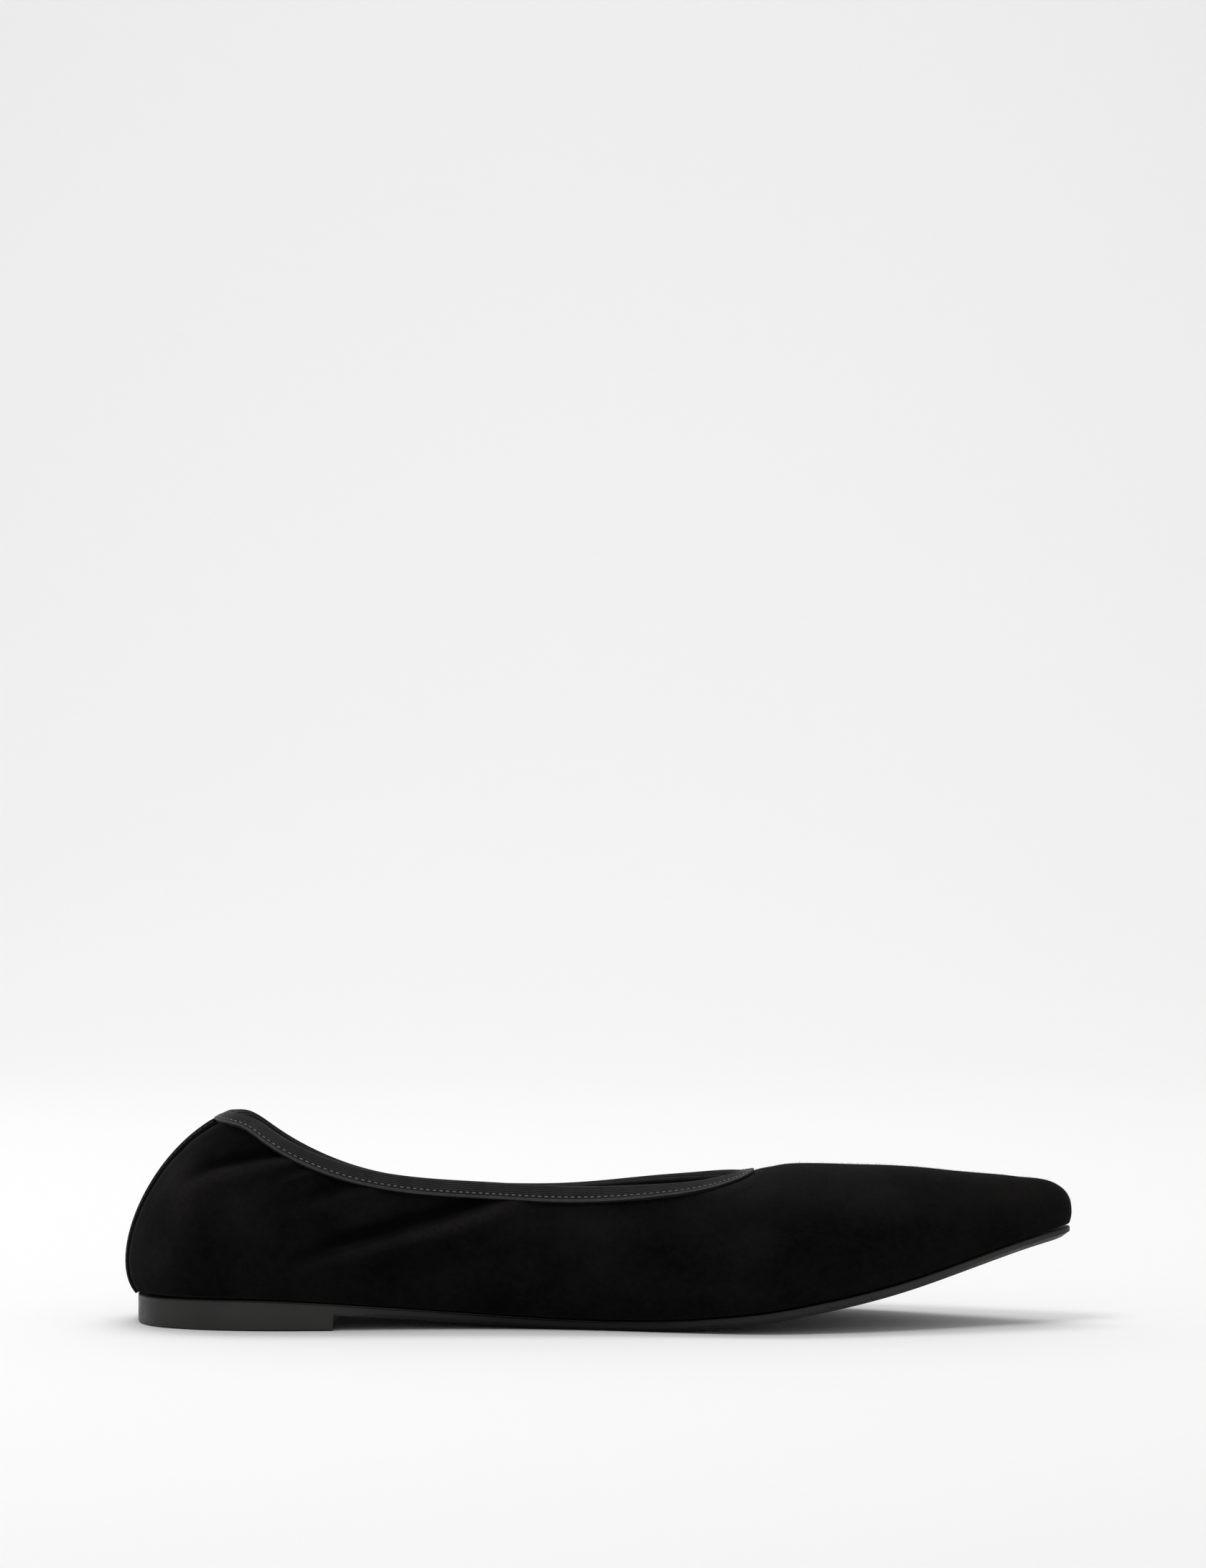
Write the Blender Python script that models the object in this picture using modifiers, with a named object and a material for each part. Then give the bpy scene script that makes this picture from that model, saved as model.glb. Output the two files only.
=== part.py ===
"""Left ballet flat with a pointed toe, standing on its moulded sole.

The toe points along +X, the floor is z = 0 and the inner (medial) side of the foot faces -Y.
The origin lies on the floor under the middle of the heel. All lengths are in metres.

One surface function gives the outer face of the upper. It reads two short tables with a row
for each station, from the back of the heel (station 0) to the tip of the toe (the last one).
The wall, the back strip, the collar binding, the insole and the sole all follow it.
"""

import bmesh
import bpy
import numpy as np

OBJECT_NAME = "pointed_toe_flat_shoe"

# Driving dimensions of the last. HEEL_CENTRE is how far the origin lies from the sole's back end
SOLE_LENGTH = 0.2584
BALL_WIDTH = 0.0753
HEEL_WIDTH = 0.055
HEEL_CENTRE = 0.026
BACK_HEIGHT = 0.0488
VAMP_HEIGHT = 0.0361
WAIST_HEIGHT = 0.0381
OUTER_SIDE_DROP = 0.0048
SIDE_SWELL = 0.011
BACK_SWELL = 0.0102
BACK_LEAN = 0.037
NOSE_SWELL = 0.0022
NOSE_SLOPE = 0.0104

# Shares of BACK_LEAN and NOSE_SWELL that the upper third of the last takes
HIGH_LEAN = 0.23
HIGH_NOSE = 0.27

# Sole and heel
SOLE_THICKNESS = 0.00305
SHANK_LIFT = 0.0043
TOE_SPRING = 0.02395
HEEL_LENGTH = 0.0551
BAND_HEIGHT = 0.0014
BEVEL_DEPTH = 0.0018
BEVEL_START = 0.0061
BEVEL_RUN = 0.0076
EDGE_ROUND = 0.0005
EDGE_PROUD = 0.0003

# Thicknesses, widths and the clearance between pieces that touch
WALL = 0.0015
CLEARANCE = 0.0003
INSOLE_THICKNESS = 0.0018
INSOLE_INSET = 0.0007
BINDING_THICKNESS = 0.0008
BINDING_WIDTH = 0.0038
STRIP_THICKNESS = 0.0008
STRIP_WIDTH = 0.013

# Plan of each station. "along" is a share of SOLE_LENGTH. "ball" blends from HEEL_WIDTH to
# BALL_WIDTH. The half widths of the feather edge, the shoulder's half width and the swing of
# the ridge are shares of that blended width, and "swell" is a share of SIDE_SWELL.
PLAN_COLUMNS = ("along", "ball", "medial", "lateral", "swell", "shoulder", "swing")
PLAN = (
    (0.0000, 0.00, 0.000, 0.000, 0.00, 0.000, 0.000),
    (0.0046, 0.00, 0.145, 0.145, 0.33, 0.200, 0.000),
    (0.0193, 0.00, 0.278, 0.278, 0.59, 0.350, 0.000),
    (0.0464, 0.00, 0.382, 0.382, 0.75, 0.460, 0.000),
    (0.0929, 0.00, 0.465, 0.469, 0.87, 0.480, 0.000),
    (0.1548, 0.00, 0.495, 0.505, 0.94, 0.465, 0.000),
    (0.2245, 0.10, 0.459, 0.498, 0.96, 0.440, 0.000),
    (0.3019, 0.35, 0.386, 0.464, 1.00, 0.411, 0.000),
    (0.3831, 0.65, 0.337, 0.443, 1.04, 0.389, 0.000),
    (0.4644, 0.90, 0.336, 0.456, 1.00, 0.375, 0.000),
    (0.5418, 1.00, 0.388, 0.491, 0.86, 0.372, 0.000),
    (0.6037, 1.00, 0.446, 0.521, 0.76, 0.385, 0.000),
    (0.6502, 1.00, 0.478, 0.522, 0.68, 0.392, 0.000),
    (0.6734, 1.00, 0.483, 0.512, 0.63, 0.392, -0.003),
    (0.7043, 1.00, 0.478, 0.486, 0.56, 0.385, -0.007),
    (0.7663, 1.00, 0.433, 0.414, 0.45, 0.345, -0.015),
    (0.8282, 1.00, 0.359, 0.319, 0.40, 0.279, -0.024),
    (0.8862, 1.00, 0.274, 0.218, 0.35, 0.206, -0.032),
    (0.9327, 1.00, 0.203, 0.135, 0.29, 0.146, -0.037),
    (0.9675, 1.00, 0.147, 0.070, 0.23, 0.101, -0.041),
    (0.9907, 1.00, 0.108, 0.020, 0.13, 0.060, -0.043),
    (1.0000, 1.00, 0.044, -0.044, 0.00, 0.000, -0.044),
)

# Heights of each station. "arch" is a share of SHANK_LIFT and "spring" of TOE_SPRING, and they
# lift the sole. "back", "vamp" and "waist" are shares of BACK_HEIGHT, VAMP_HEIGHT and
# WAIST_HEIGHT, and together they give the ridge over the sole's edge, which behind the throat is
# the open crown of the last. "rise" is the height of the fullest part of the side as a share of
# the ridge's. "rear" and "front" lift the collar from WAIST_HEIGHT to the back and to the throat,
# and "drop" lowers its outer side. "tuck" and "lean" shape the back of the heel, and "nose" the
# front of the toe.
RISE_COLUMNS = ("arch", "spring", "back", "vamp", "waist", "rise", "rear", "front", "drop",
                "tuck", "lean", "nose")
RISE = (
    (1.220, 0.000, 1.053, 0.0000, 0.00, 0.207, 1.000, 0.00, 0.00, 1.00, 1.00, 0.00),
    (1.220, 0.000, 1.057, 0.0000, 0.00, 0.207, 1.000, 0.00, 0.00, 0.97, 0.99, 0.00),
    (1.230, 0.000, 1.068, 0.0000, 0.00, 0.205, 0.995, 0.00, 0.03, 0.87, 0.94, 0.00),
    (1.250, 0.000, 1.078, 0.0000, 0.00, 0.200, 0.982, 0.00, 0.10, 0.62, 0.82, 0.00),
    (1.267, 0.000, 1.080, 0.0000, 0.00, 0.200, 0.877, 0.00, 0.35, 0.33, 0.59, 0.00),
    (1.198, 0.000, 1.080, 0.0000, 0.00, 0.200, 0.590, 0.00, 0.65, 0.12, 0.34, 0.00),
    (0.942, 0.000, 1.065, 0.0000, 0.00, 0.210, 0.296, 0.00, 0.90, 0.00, 0.18, 0.00),
    (0.593, 0.000, 0.840, 0.0291, 0.25, 0.230, 0.130, 0.00, 1.00, 0.00, 0.08, 0.00),
    (0.228, 0.000, 0.640, 0.0153, 0.50, 0.245, 0.060, 0.00, 0.97, 0.00, 0.02, 0.00),
    (-0.035, 0.000, 0.395, 0.0384, 0.75, 0.260, 0.005, 0.00, 0.74, 0.00, 0.00, 0.00),
    (-0.030, 0.000, 0.148, 0.0801, 0.90, 0.290, 0.000, 0.17, 0.38, 0.00, 0.00, 0.00),
    (0.000, 0.040, 0.000, 0.1846, 0.82, 0.310, 0.000, 0.45, 0.08, 0.00, 0.00, 0.00),
    (0.000, 0.094, 0.000, 0.4333, 0.50, 0.330, 0.000, 1.00, 0.00, 0.00, 0.00, 0.00),
    (0.000, 0.127, 0.000, 0.7347, 0.24, 0.332, 0.000, 1.40, 0.00, 0.00, 0.00, 0.00),
    (0.000, 0.182, 0.000, 0.8945, 0.10, 0.335, 0.000, 1.90, 0.00, 0.00, 0.00, 0.00),
    (0.000, 0.308, 0.000, 0.8929, 0.02, 0.350, 0.000, 2.50, 0.00, 0.00, 0.00, 0.00),
    (0.000, 0.466, 0.000, 0.7950, 0.00, 0.370, 0.000, 3.10, 0.00, 0.00, 0.00, 0.00),
    (0.000, 0.653, 0.000, 0.6340, 0.00, 0.395, 0.000, 3.70, 0.00, 0.00, 0.00, 0.05),
    (0.000, 0.808, 0.000, 0.5100, 0.00, 0.420, 0.000, 4.30, 0.00, 0.00, 0.00, 0.25),
    (0.000, 0.914, 0.000, 0.4220, 0.00, 0.430, 0.000, 4.90, 0.00, 0.00, 0.00, 0.60),
    (0.000, 0.977, 0.000, 0.3730, 0.00, 0.420, 0.000, 5.50, 0.00, 0.00, 0.00, 0.90),
    (0.000, 1.000, 0.000, 0.3520, 0.00, 0.410, 0.000, 6.10, 0.00, 0.00, 0.00, 1.00),
)
THROAT = 12
TIP = len(PLAN) - 1

# Columns that change sign across the shoe's centre line, where the rest are mirrored
CROSSING = ("medial", "lateral", "swell", "shoulder")

# Finish of each piece: the material's name, colour and roughness
FINISHES = {
    "outsole": ("moulded_rubber", (0.03, 0.03, 0.031), 0.5),
    "insole": ("sock_lining", (0.03, 0.03, 0.032), 0.7),
    "upper": ("black_suede", (0.012, 0.012, 0.013), 0.95),
    "back_strip": ("strip_suede", (0.012, 0.012, 0.013), 0.95),
    "collar_binding": ("elastic_tape", (0.035, 0.035, 0.037), 0.8),
}

# Mesh density: columns for each station, points up the wall, across the sole and in the strip.
# THROAT_STEPS are the columns of the last station before the throat, where the collar turns,
# and EDGE_CROWDING draws the wall's points towards its collar and its feather edge.
COLUMNS = 3
SOCK_COLUMNS = 2
WALL_POINTS = 13
ACROSS_POINTS = 5
STRIP_ROWS = 9
STRIP_HALF = 3
THROAT_STEPS = (0.20, 0.40, 0.56, 0.70, 0.82, 0.91, 0.97)
EDGE_CROWDING = 0.07
SMOOTH_ANGLE = 40
WELD = 2e-5

# Steps of the searches along the surface, in stations: a slope's, a look-up's and a walk's
PROBE = 1e-3
SEARCH_COLUMNS = 50
SEARCH_ROUNDS = 40
WALK_STEPS = 4

# The breast of the heel is upright but for this share of a station. The strip starts this far
# up the back, and lies within so many stations of it.
BREAST_RUN = 0.02
STRIP_START = 0.025
STRIP_REACH = 4

# The tape's fold: how far out and up its round corners lie, as shares of its skin, and how far
# its crest's ends lie from the wall's faces, as a share of the wall
CORNER_OUT = 0.6
CORNER_UP = 0.8
CREST_END = 0.2

MEDIAL, LATERAL = -1, 1


def bends(values, crossing):
    """Second derivatives of the smooth curve through one value for each station."""
    count = len(values)
    matrix = np.zeros((count, count))
    target = np.zeros(count)
    for i in range(1, count - 1):
        matrix[i, i - 1:i + 2] = (1, 4, 1)
        target[i] = 6 * (values[i - 1] - 2 * values[i] + values[i + 1])
    if crossing:
        matrix[0, 0] = 1
        matrix[-1, -1] = 1
    else:
        matrix[0, :2] = (2, 1)
        matrix[-1, -2:] = (1, 2)
        target[0] = 6 * (values[1] - values[0])
        target[-1] = -6 * (values[-1] - values[-2])
    return np.linalg.solve(matrix, target)


def table_curves():
    """Each column of the tables with its bends, by the column's name."""
    curves = {}
    for names, rows in ((PLAN_COLUMNS, PLAN), (RISE_COLUMNS, RISE)):
        for name, values in zip(names, np.array(rows).T):
            curves[name] = (values, bends(values, name in CROSSING))
    return curves


CURVES = table_curves()


def look(name, station):
    """A column's value at any station, also between rows."""
    values, bend = CURVES[name]
    before = np.clip(np.floor(station).astype(int), 0, TIP - 1)
    ahead = station - before
    behind = 1 - ahead
    straight = behind * values[before] + ahead * values[before + 1]
    curved = (behind ** 3 - behind) * bend[before] + (ahead ** 3 - ahead) * bend[before + 1]
    return straight + curved / 6


def blended_width(station):
    """The width that a station's shares refer to."""
    return HEEL_WIDTH + (BALL_WIDTH - HEEL_WIDTH) * look("ball", station)


def sole_lift(station):
    """Height of the sole's underside, ahead of the heel, before its flat spot is cut."""
    return SHANK_LIFT * look("arch", station) + TOE_SPRING * look("spring", station)


def feather(side, station):
    """The feather edge, where the upper meets the sole: x, y and z."""
    share = np.where(side < 0, look("medial", station), look("lateral", station))
    x = SOLE_LENGTH * look("along", station) - HEEL_CENTRE
    return x, side * share * blended_width(station), SOLE_THICKNESS + sole_lift(station)


def ridge_height(station):
    """Height of the ridge of the last over the floor."""
    over_sole = BACK_HEIGHT * look("back", station) + VAMP_HEIGHT * look("vamp", station)
    over_sole += WAIST_HEIGHT * look("waist", station)
    return SOLE_THICKNESS + sole_lift(station) + over_sole


def surface(side, station, up):
    """Points on the upper's outer face, from the feather edge (up = 0) to the ridge (up = 1)."""
    side, station, up = np.broadcast_arrays(side, np.asarray(station, float), np.asarray(up, float))
    x, y, z = feather(side, station)
    width = blended_width(station)
    lean, nose = BACK_LEAN * look("lean", station), look("nose", station)
    top = ridge_height(station)
    ridge_y = look("swing", station) * width
    low_x = x - BACK_SWELL * look("tuck", station) + NOSE_SWELL * nose
    high_x = x + HIGH_LEAN * lean + HIGH_NOSE * NOSE_SWELL * nose
    corners = (
        (x, y, z),
        (low_x, y + side * SIDE_SWELL * look("swell", station), z + look("rise", station) * (top - z)),
        (high_x, ridge_y + side * look("shoulder", station) * width, top),
        (x + lean - NOSE_SLOPE * nose, ridge_y, top),
    )
    down = 1 - up
    shares = (down ** 3, 3 * down ** 2 * up, 3 * down * up ** 2, up ** 3)
    return sum(np.stack(corner, axis=-1) * share[..., None] for corner, share in zip(corners, shares))


def directions(side, station, up):
    """How the surface runs along the shoe and up its wall, and its outward normal."""
    along = surface(side, station + PROBE, up) - surface(side, station - PROBE, up)
    rising = surface(side, station, up + PROBE) - surface(side, station, up - PROBE)
    outward = -np.asarray(side)[..., None] * np.cross(along, rising)
    outward /= np.linalg.norm(outward, axis=-1, keepdims=True)
    return along / (2 * PROBE), rising / (2 * PROBE), outward


def raised(side, station, up, height):
    """Points over the upper's outer face, or under it where the height is negative."""
    side, station, up = np.broadcast_arrays(side, np.asarray(station, float), np.asarray(up, float))
    return surface(side, station, up) + directions(side, station, up)[2] * height


def walk(side, station, up, heading, distance):
    """Follows the surface for a distance in a heading, and returns the station and height there."""
    for _ in range(WALK_STEPS):
        along, rising, _outward = directions(side, station, up)
        aa = np.sum(along * along, axis=-1)
        ar = np.sum(along * rising, axis=-1)
        rr = np.sum(rising * rising, axis=-1)
        ah = np.sum(along * heading, axis=-1)
        rh = np.sum(rising * heading, axis=-1)
        to_station = (ah * rr - rh * ar) / (aa * rr - ar * ar)
        to_up = (aa * rh - ar * ah) / (aa * rr - ar * ar)
        reach = np.linalg.norm(along * to_station[..., None] + rising * to_up[..., None], axis=-1)
        station = station + to_station * distance / WALK_STEPS / reach
        up = up + to_up * distance / WALK_STEPS / reach
    return station, up


def collar_up(side, station):
    """How far up the last the upper goes: to its collar, or to the ridge ahead of the throat."""
    side, station = np.broadcast_arrays(side, np.asarray(station, float))
    back_edge = SOLE_THICKNESS + sole_lift(0.0) + BACK_HEIGHT
    throat_edge = ridge_height(float(THROAT))
    height = WAIST_HEIGHT + (back_edge - WAIST_HEIGHT) * look("rear", station)
    height += (throat_edge - WAIST_HEIGHT) * look("front", station)
    height -= np.where(side > 0, OUTER_SIDE_DROP * look("drop", station), 0.0)
    low, high = np.zeros(station.shape), np.ones(station.shape)
    for _ in range(SEARCH_ROUNDS):
        middle = (low + high) / 2
        below = surface(side, station, middle)[..., 2] < height
        low = np.where(below, middle, low)
        high = np.where(below, high, middle)
    return np.where(station >= THROAT, 1.0, high)


def even_stations(first, last, columns):
    """Stations at even steps, with both ends."""
    return np.linspace(first, last, int(round((last - first) * columns)) + 1)


def collar_stations():
    """Stations from the back to the throat, closer where the collar turns across the foot."""
    last = THROAT - 1
    turn = last + np.array(THROAT_STEPS)
    return np.concatenate((even_stations(0, last, COLUMNS), turn, (THROAT,)))


def plan_edge(side, station, inset):
    """The feather edge in plan, moved in by an inset square to it."""
    x, y, _z = feather(side, station)
    x_ahead, y_ahead, _z = feather(side, station + PROBE)
    x_behind, y_behind, _z = feather(side, station - PROBE)
    run = np.hypot(x_ahead - x_behind, y_ahead - y_behind)
    in_x = side * (y_ahead - y_behind) / run
    in_y = -side * (x_ahead - x_behind) / run
    return x + inset * in_x, y + inset * in_y


def finish(piece):
    """The plain coloured material of a piece."""
    name, colour, roughness = FINISHES[piece]
    result = bpy.data.materials.new(name)
    result.use_nodes = True
    shader = result.node_tree.nodes["Principled BSDF"]
    shader.inputs["Base Color"].default_value = (*colour, 1.0)
    shader.inputs["Roughness"].default_value = roughness
    shader.inputs["Metallic"].default_value = 0.0
    return result


def add_object(name, mesh_data, collection):
    """Makes a piece of a filled bmesh, smooth but for its sharp corners."""
    bmesh.ops.remove_doubles(mesh_data, verts=mesh_data.verts, dist=WELD)
    mesh = bpy.data.meshes.new(name)
    mesh_data.to_mesh(mesh)
    mesh_data.free()
    mesh.shade_smooth()
    mesh.set_sharp_from_angle(angle=np.radians(SMOOTH_ANGLE))
    mesh.materials.append(finish(name))
    thing = bpy.data.objects.new(name, mesh)
    collection.objects.link(thing)
    return thing


def add_faces(mesh_data, points, closed=False, flip=False):
    """Fills a grid of points with four-sided faces; closed joins its last row to its first."""
    columns, rows = points.shape[:2]
    verts = [[mesh_data.verts.new(point) for point in column] for column in points]
    for i in range(columns - 1):
        for j in range(rows if closed else rows - 1):
            after = (j + 1) % rows
            corners = (verts[i][j], verts[i + 1][j], verts[i + 1][after], verts[i][after])
            mesh_data.faces.new(corners[::-1] if flip else corners)


def add_wall(thing, thickness, offset):
    """Gives an open surface its thickness: offset -1 goes inward and 1 outward."""
    wall = thing.modifiers.new("wall", "SOLIDIFY")
    wall.thickness = thickness
    wall.offset = offset


def add_upper(collection):
    """The suede upper: one hollow wall, open at the collar and along the feather edge."""
    ahead = even_stations(THROAT, TIP, COLUMNS)[1:]
    station = np.concatenate((collar_stations(), ahead))
    share = np.linspace(0, 1, WALL_POINTS)
    share = share - EDGE_CROWDING * np.sin(2 * np.pi * share)
    sheet = bmesh.new()
    for side in (MEDIAL, LATERAL):
        up = collar_up(side, station)[:, None] * share
        add_faces(sheet, surface(side, station[:, None], up), flip=side == LATERAL)
    upper = add_object("upper", sheet, collection)
    add_wall(upper, WALL, -1)
    return upper


def add_rings(name, station, levels, collection):
    """A solid from rings round the shoe: levels are insets and heights, from the top edge down."""
    across = np.linspace(0, 1, ACROSS_POINTS)[:, None, None]
    sides = []
    for side in (MEDIAL, LATERAL):
        rows = []
        for inset, height in levels:
            x, y = plan_edge(side, station, inset)
            rows.append(np.stack((x, y, height), axis=-1))
        sides.append(rows)
    medial, lateral = sides
    top = medial[0] + (lateral[0] - medial[0]) * across
    bottom = lateral[-1] + (medial[-1] - lateral[-1]) * across
    ring = [*top, *lateral[1:-1], *bottom, *medial[-2:0:-1]]
    solid = bmesh.new()
    add_faces(solid, np.stack(ring, axis=1), closed=True)
    return add_object(name, solid, collection)


def add_insole(collection):
    """The thin sock that lies on the sole inside the upper."""
    station = even_stations(0, TIP, SOCK_COLUMNS)
    _x, _y, height = feather(LATERAL, station)
    inset = WALL + INSOLE_INSET
    levels = ((inset, height + INSOLE_THICKNESS), (inset, height))
    return add_rings("insole", station, levels, collection)


def heel_breast_station():
    """The station where the heel ends."""
    station = even_stations(0, TIP, SEARCH_COLUMNS)
    x = SOLE_LENGTH * look("along", station)
    return float(np.interp(HEEL_LENGTH, x, station))


def add_outsole(collection):
    """The moulded sole with its low heel, arch, toe spring and the bevel under its edge."""
    breast = heel_breast_station()
    station = np.sort(np.append(even_stations(0, TIP, COLUMNS), (breast, breast + BREAST_RUN)))
    _x, _y, edge = feather(LATERAL, station)
    from_breast = SOLE_LENGTH * look("along", station) - HEEL_LENGTH
    bevel = np.clip((from_breast - BEVEL_START) / BEVEL_RUN, 0, 1)
    underside = np.where(station <= breast, 0.0, np.maximum(sole_lift(station), 0.0))
    top = edge - CLEARANCE
    band = (underside + EDGE_ROUND) * (1 - bevel) + (top - BAND_HEIGHT) * bevel
    foot_inset = EDGE_ROUND * (1 - bevel) + BEVEL_DEPTH * bevel - EDGE_PROUD
    levels = ((-EDGE_PROUD, top), (-EDGE_PROUD, band), (foot_inset, underside))
    return add_rings("outsole", station, levels, collection)


def collar_loop():
    """Side, station and height of points right round the collar, from the back by the inner side."""
    station = collar_stations()
    loop_station = np.concatenate((station, station[-2:0:-1]))
    side = np.where(np.arange(len(loop_station)) < len(station), MEDIAL, LATERAL)
    return side, loop_station, collar_up(side, loop_station)


def add_collar_binding(collection):
    """The elastic tape folded over the collar edge, one closed ring with a U section."""
    side, station, up = collar_loop()
    edge = surface(side, station, up)
    _along, _rising, outward = directions(side, station, up)
    run = np.roll(edge, -1, axis=0) - np.roll(edge, 1, axis=0)
    away = np.cross(run, outward)
    away /= np.linalg.norm(away, axis=-1, keepdims=True)

    def over_edge(height, above):
        return edge + outward * height - away * above

    def down_leg(height, below):
        leg_station, leg_up = walk(side, station, up, away, below)
        return raised(side, leg_station, leg_up, height)

    face = CLEARANCE
    skin = CLEARANCE + BINDING_THICKNESS
    lining = -(WALL + face)
    back = -(WALL + skin)
    third = BINDING_WIDTH / 3
    ring = (
        down_leg(skin, BINDING_WIDTH),
        down_leg(skin, 2 * third),
        down_leg(skin, third),
        over_edge(skin, 0),
        over_edge(CORNER_OUT * skin, CORNER_UP * skin),
        over_edge(-CREST_END * WALL, skin),
        over_edge(-(1 - CREST_END) * WALL, skin),
        over_edge(-WALL - CORNER_OUT * skin, CORNER_UP * skin),
        over_edge(back, 0),
        down_leg(back, third),
        down_leg(back, 2 * third),
        down_leg(back, BINDING_WIDTH),
        down_leg(lining, BINDING_WIDTH),
        down_leg(lining, third),
        over_edge(lining, face),
        over_edge(face, face),
        down_leg(face, third),
        down_leg(face, BINDING_WIDTH),
    )
    points = np.stack(ring, axis=1)
    points = np.concatenate((points, points[:1]))
    tape = bmesh.new()
    add_faces(tape, points, closed=True)
    return add_object("collar_binding", tape, collection)


def add_back_strip(collection):
    """The strip that covers the seam down the middle of the back, between binding and sole."""
    down = np.array((0.0, 0.0, -1.0))
    below_tape = BINDING_WIDTH + 3 * CLEARANCE
    _station, top = walk(np.array(LATERAL), 0.0, collar_up(LATERAL, 0.0), down, below_tape)
    probe = even_stations(0, STRIP_REACH, SEARCH_COLUMNS)
    across = np.arange(-STRIP_HALF, STRIP_HALF + 1)
    side = np.where(across < 0, MEDIAL, LATERAL)
    rows = []
    for up in np.linspace(STRIP_START, float(top), STRIP_ROWS):
        half_width = np.abs(surface(LATERAL, probe, up)[:, 1])
        edge = float(np.interp(STRIP_WIDTH / 2, half_width, probe))
        station = edge * np.abs(across) / STRIP_HALF
        rows.append(raised(side, station, up, CLEARANCE))
    sheet = bmesh.new()
    add_faces(sheet, np.stack(rows))
    strip = add_object("back_strip", sheet, collection)
    add_wall(strip, STRIP_THICKNESS, 1)
    return strip


def main():
    """Clears the scene and builds the shoe in a collection of its own."""
    for thing in list(bpy.data.objects):
        bpy.data.objects.remove(thing, do_unlink=True)
    collection = bpy.data.collections.new(OBJECT_NAME)
    bpy.context.scene.collection.children.link(collection)
    add_outsole(collection)
    add_insole(collection)
    add_upper(collection)
    add_back_strip(collection)
    add_collar_binding(collection)


main()
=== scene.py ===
"""Looks of the left pointed toe flat shoe: suede, ribbed collar tape, moulded sole and studio.

The toe points along +X, the floor is z = 0 and the inner (medial) side of the foot faces -Y.
All lengths are in metres.
"""

import logging
import math
from dataclasses import dataclass
from enum import Enum
from functools import cached_property

import bmesh
import bpy
import numpy as np
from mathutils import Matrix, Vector


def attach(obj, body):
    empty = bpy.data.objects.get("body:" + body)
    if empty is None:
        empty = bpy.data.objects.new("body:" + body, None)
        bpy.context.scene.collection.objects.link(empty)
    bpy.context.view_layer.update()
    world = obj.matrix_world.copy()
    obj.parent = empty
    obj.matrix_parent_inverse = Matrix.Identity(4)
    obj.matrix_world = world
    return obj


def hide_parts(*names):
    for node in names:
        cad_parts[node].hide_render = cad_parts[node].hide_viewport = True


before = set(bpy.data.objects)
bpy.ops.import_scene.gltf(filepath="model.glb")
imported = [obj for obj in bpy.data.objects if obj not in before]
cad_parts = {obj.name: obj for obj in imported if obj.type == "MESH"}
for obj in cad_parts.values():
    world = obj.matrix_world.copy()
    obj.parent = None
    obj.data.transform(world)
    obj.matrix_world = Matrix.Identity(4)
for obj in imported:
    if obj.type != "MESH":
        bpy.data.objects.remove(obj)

Array = np.ndarray
Socket = bpy.types.NodeSocket
LOG = logging.getLogger("pointed_toe_flat")

# Tables of the last, as in the solids: a row for each station, from the back of the heel to
# the tip of the toe
PLAN_COLUMNS = ("along", "ball", "medial", "lateral", "swell", "shoulder", "swing")
PLAN = (
    (0.0000, 0.00, 0.000, 0.000, 0.00, 0.000, 0.000),
    (0.0046, 0.00, 0.145, 0.145, 0.33, 0.200, 0.000),
    (0.0193, 0.00, 0.278, 0.278, 0.59, 0.350, 0.000),
    (0.0464, 0.00, 0.382, 0.382, 0.75, 0.460, 0.000),
    (0.0929, 0.00, 0.465, 0.469, 0.87, 0.480, 0.000),
    (0.1548, 0.00, 0.495, 0.505, 0.94, 0.465, 0.000),
    (0.2245, 0.10, 0.459, 0.498, 0.96, 0.440, 0.000),
    (0.3019, 0.35, 0.386, 0.464, 1.00, 0.411, 0.000),
    (0.3831, 0.65, 0.337, 0.443, 1.04, 0.389, 0.000),
    (0.4644, 0.90, 0.336, 0.456, 1.00, 0.375, 0.000),
    (0.5418, 1.00, 0.388, 0.491, 0.86, 0.372, 0.000),
    (0.6037, 1.00, 0.446, 0.521, 0.76, 0.385, 0.000),
    (0.6502, 1.00, 0.478, 0.522, 0.68, 0.392, 0.000),
    (0.6734, 1.00, 0.483, 0.512, 0.63, 0.392, -0.003),
    (0.7043, 1.00, 0.478, 0.486, 0.56, 0.385, -0.007),
    (0.7663, 1.00, 0.433, 0.414, 0.45, 0.345, -0.015),
    (0.8282, 1.00, 0.359, 0.319, 0.40, 0.279, -0.024),
    (0.8862, 1.00, 0.274, 0.218, 0.35, 0.206, -0.032),
    (0.9327, 1.00, 0.203, 0.135, 0.29, 0.146, -0.037),
    (0.9675, 1.00, 0.147, 0.070, 0.23, 0.101, -0.041),
    (0.9907, 1.00, 0.108, 0.020, 0.13, 0.060, -0.043),
    (1.0000, 1.00, 0.044, -0.044, 0.00, 0.000, -0.044),
)
RISE_COLUMNS = ("arch", "spring", "back", "vamp", "waist", "rise", "rear", "front", "drop",
                "tuck", "lean", "nose")
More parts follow.
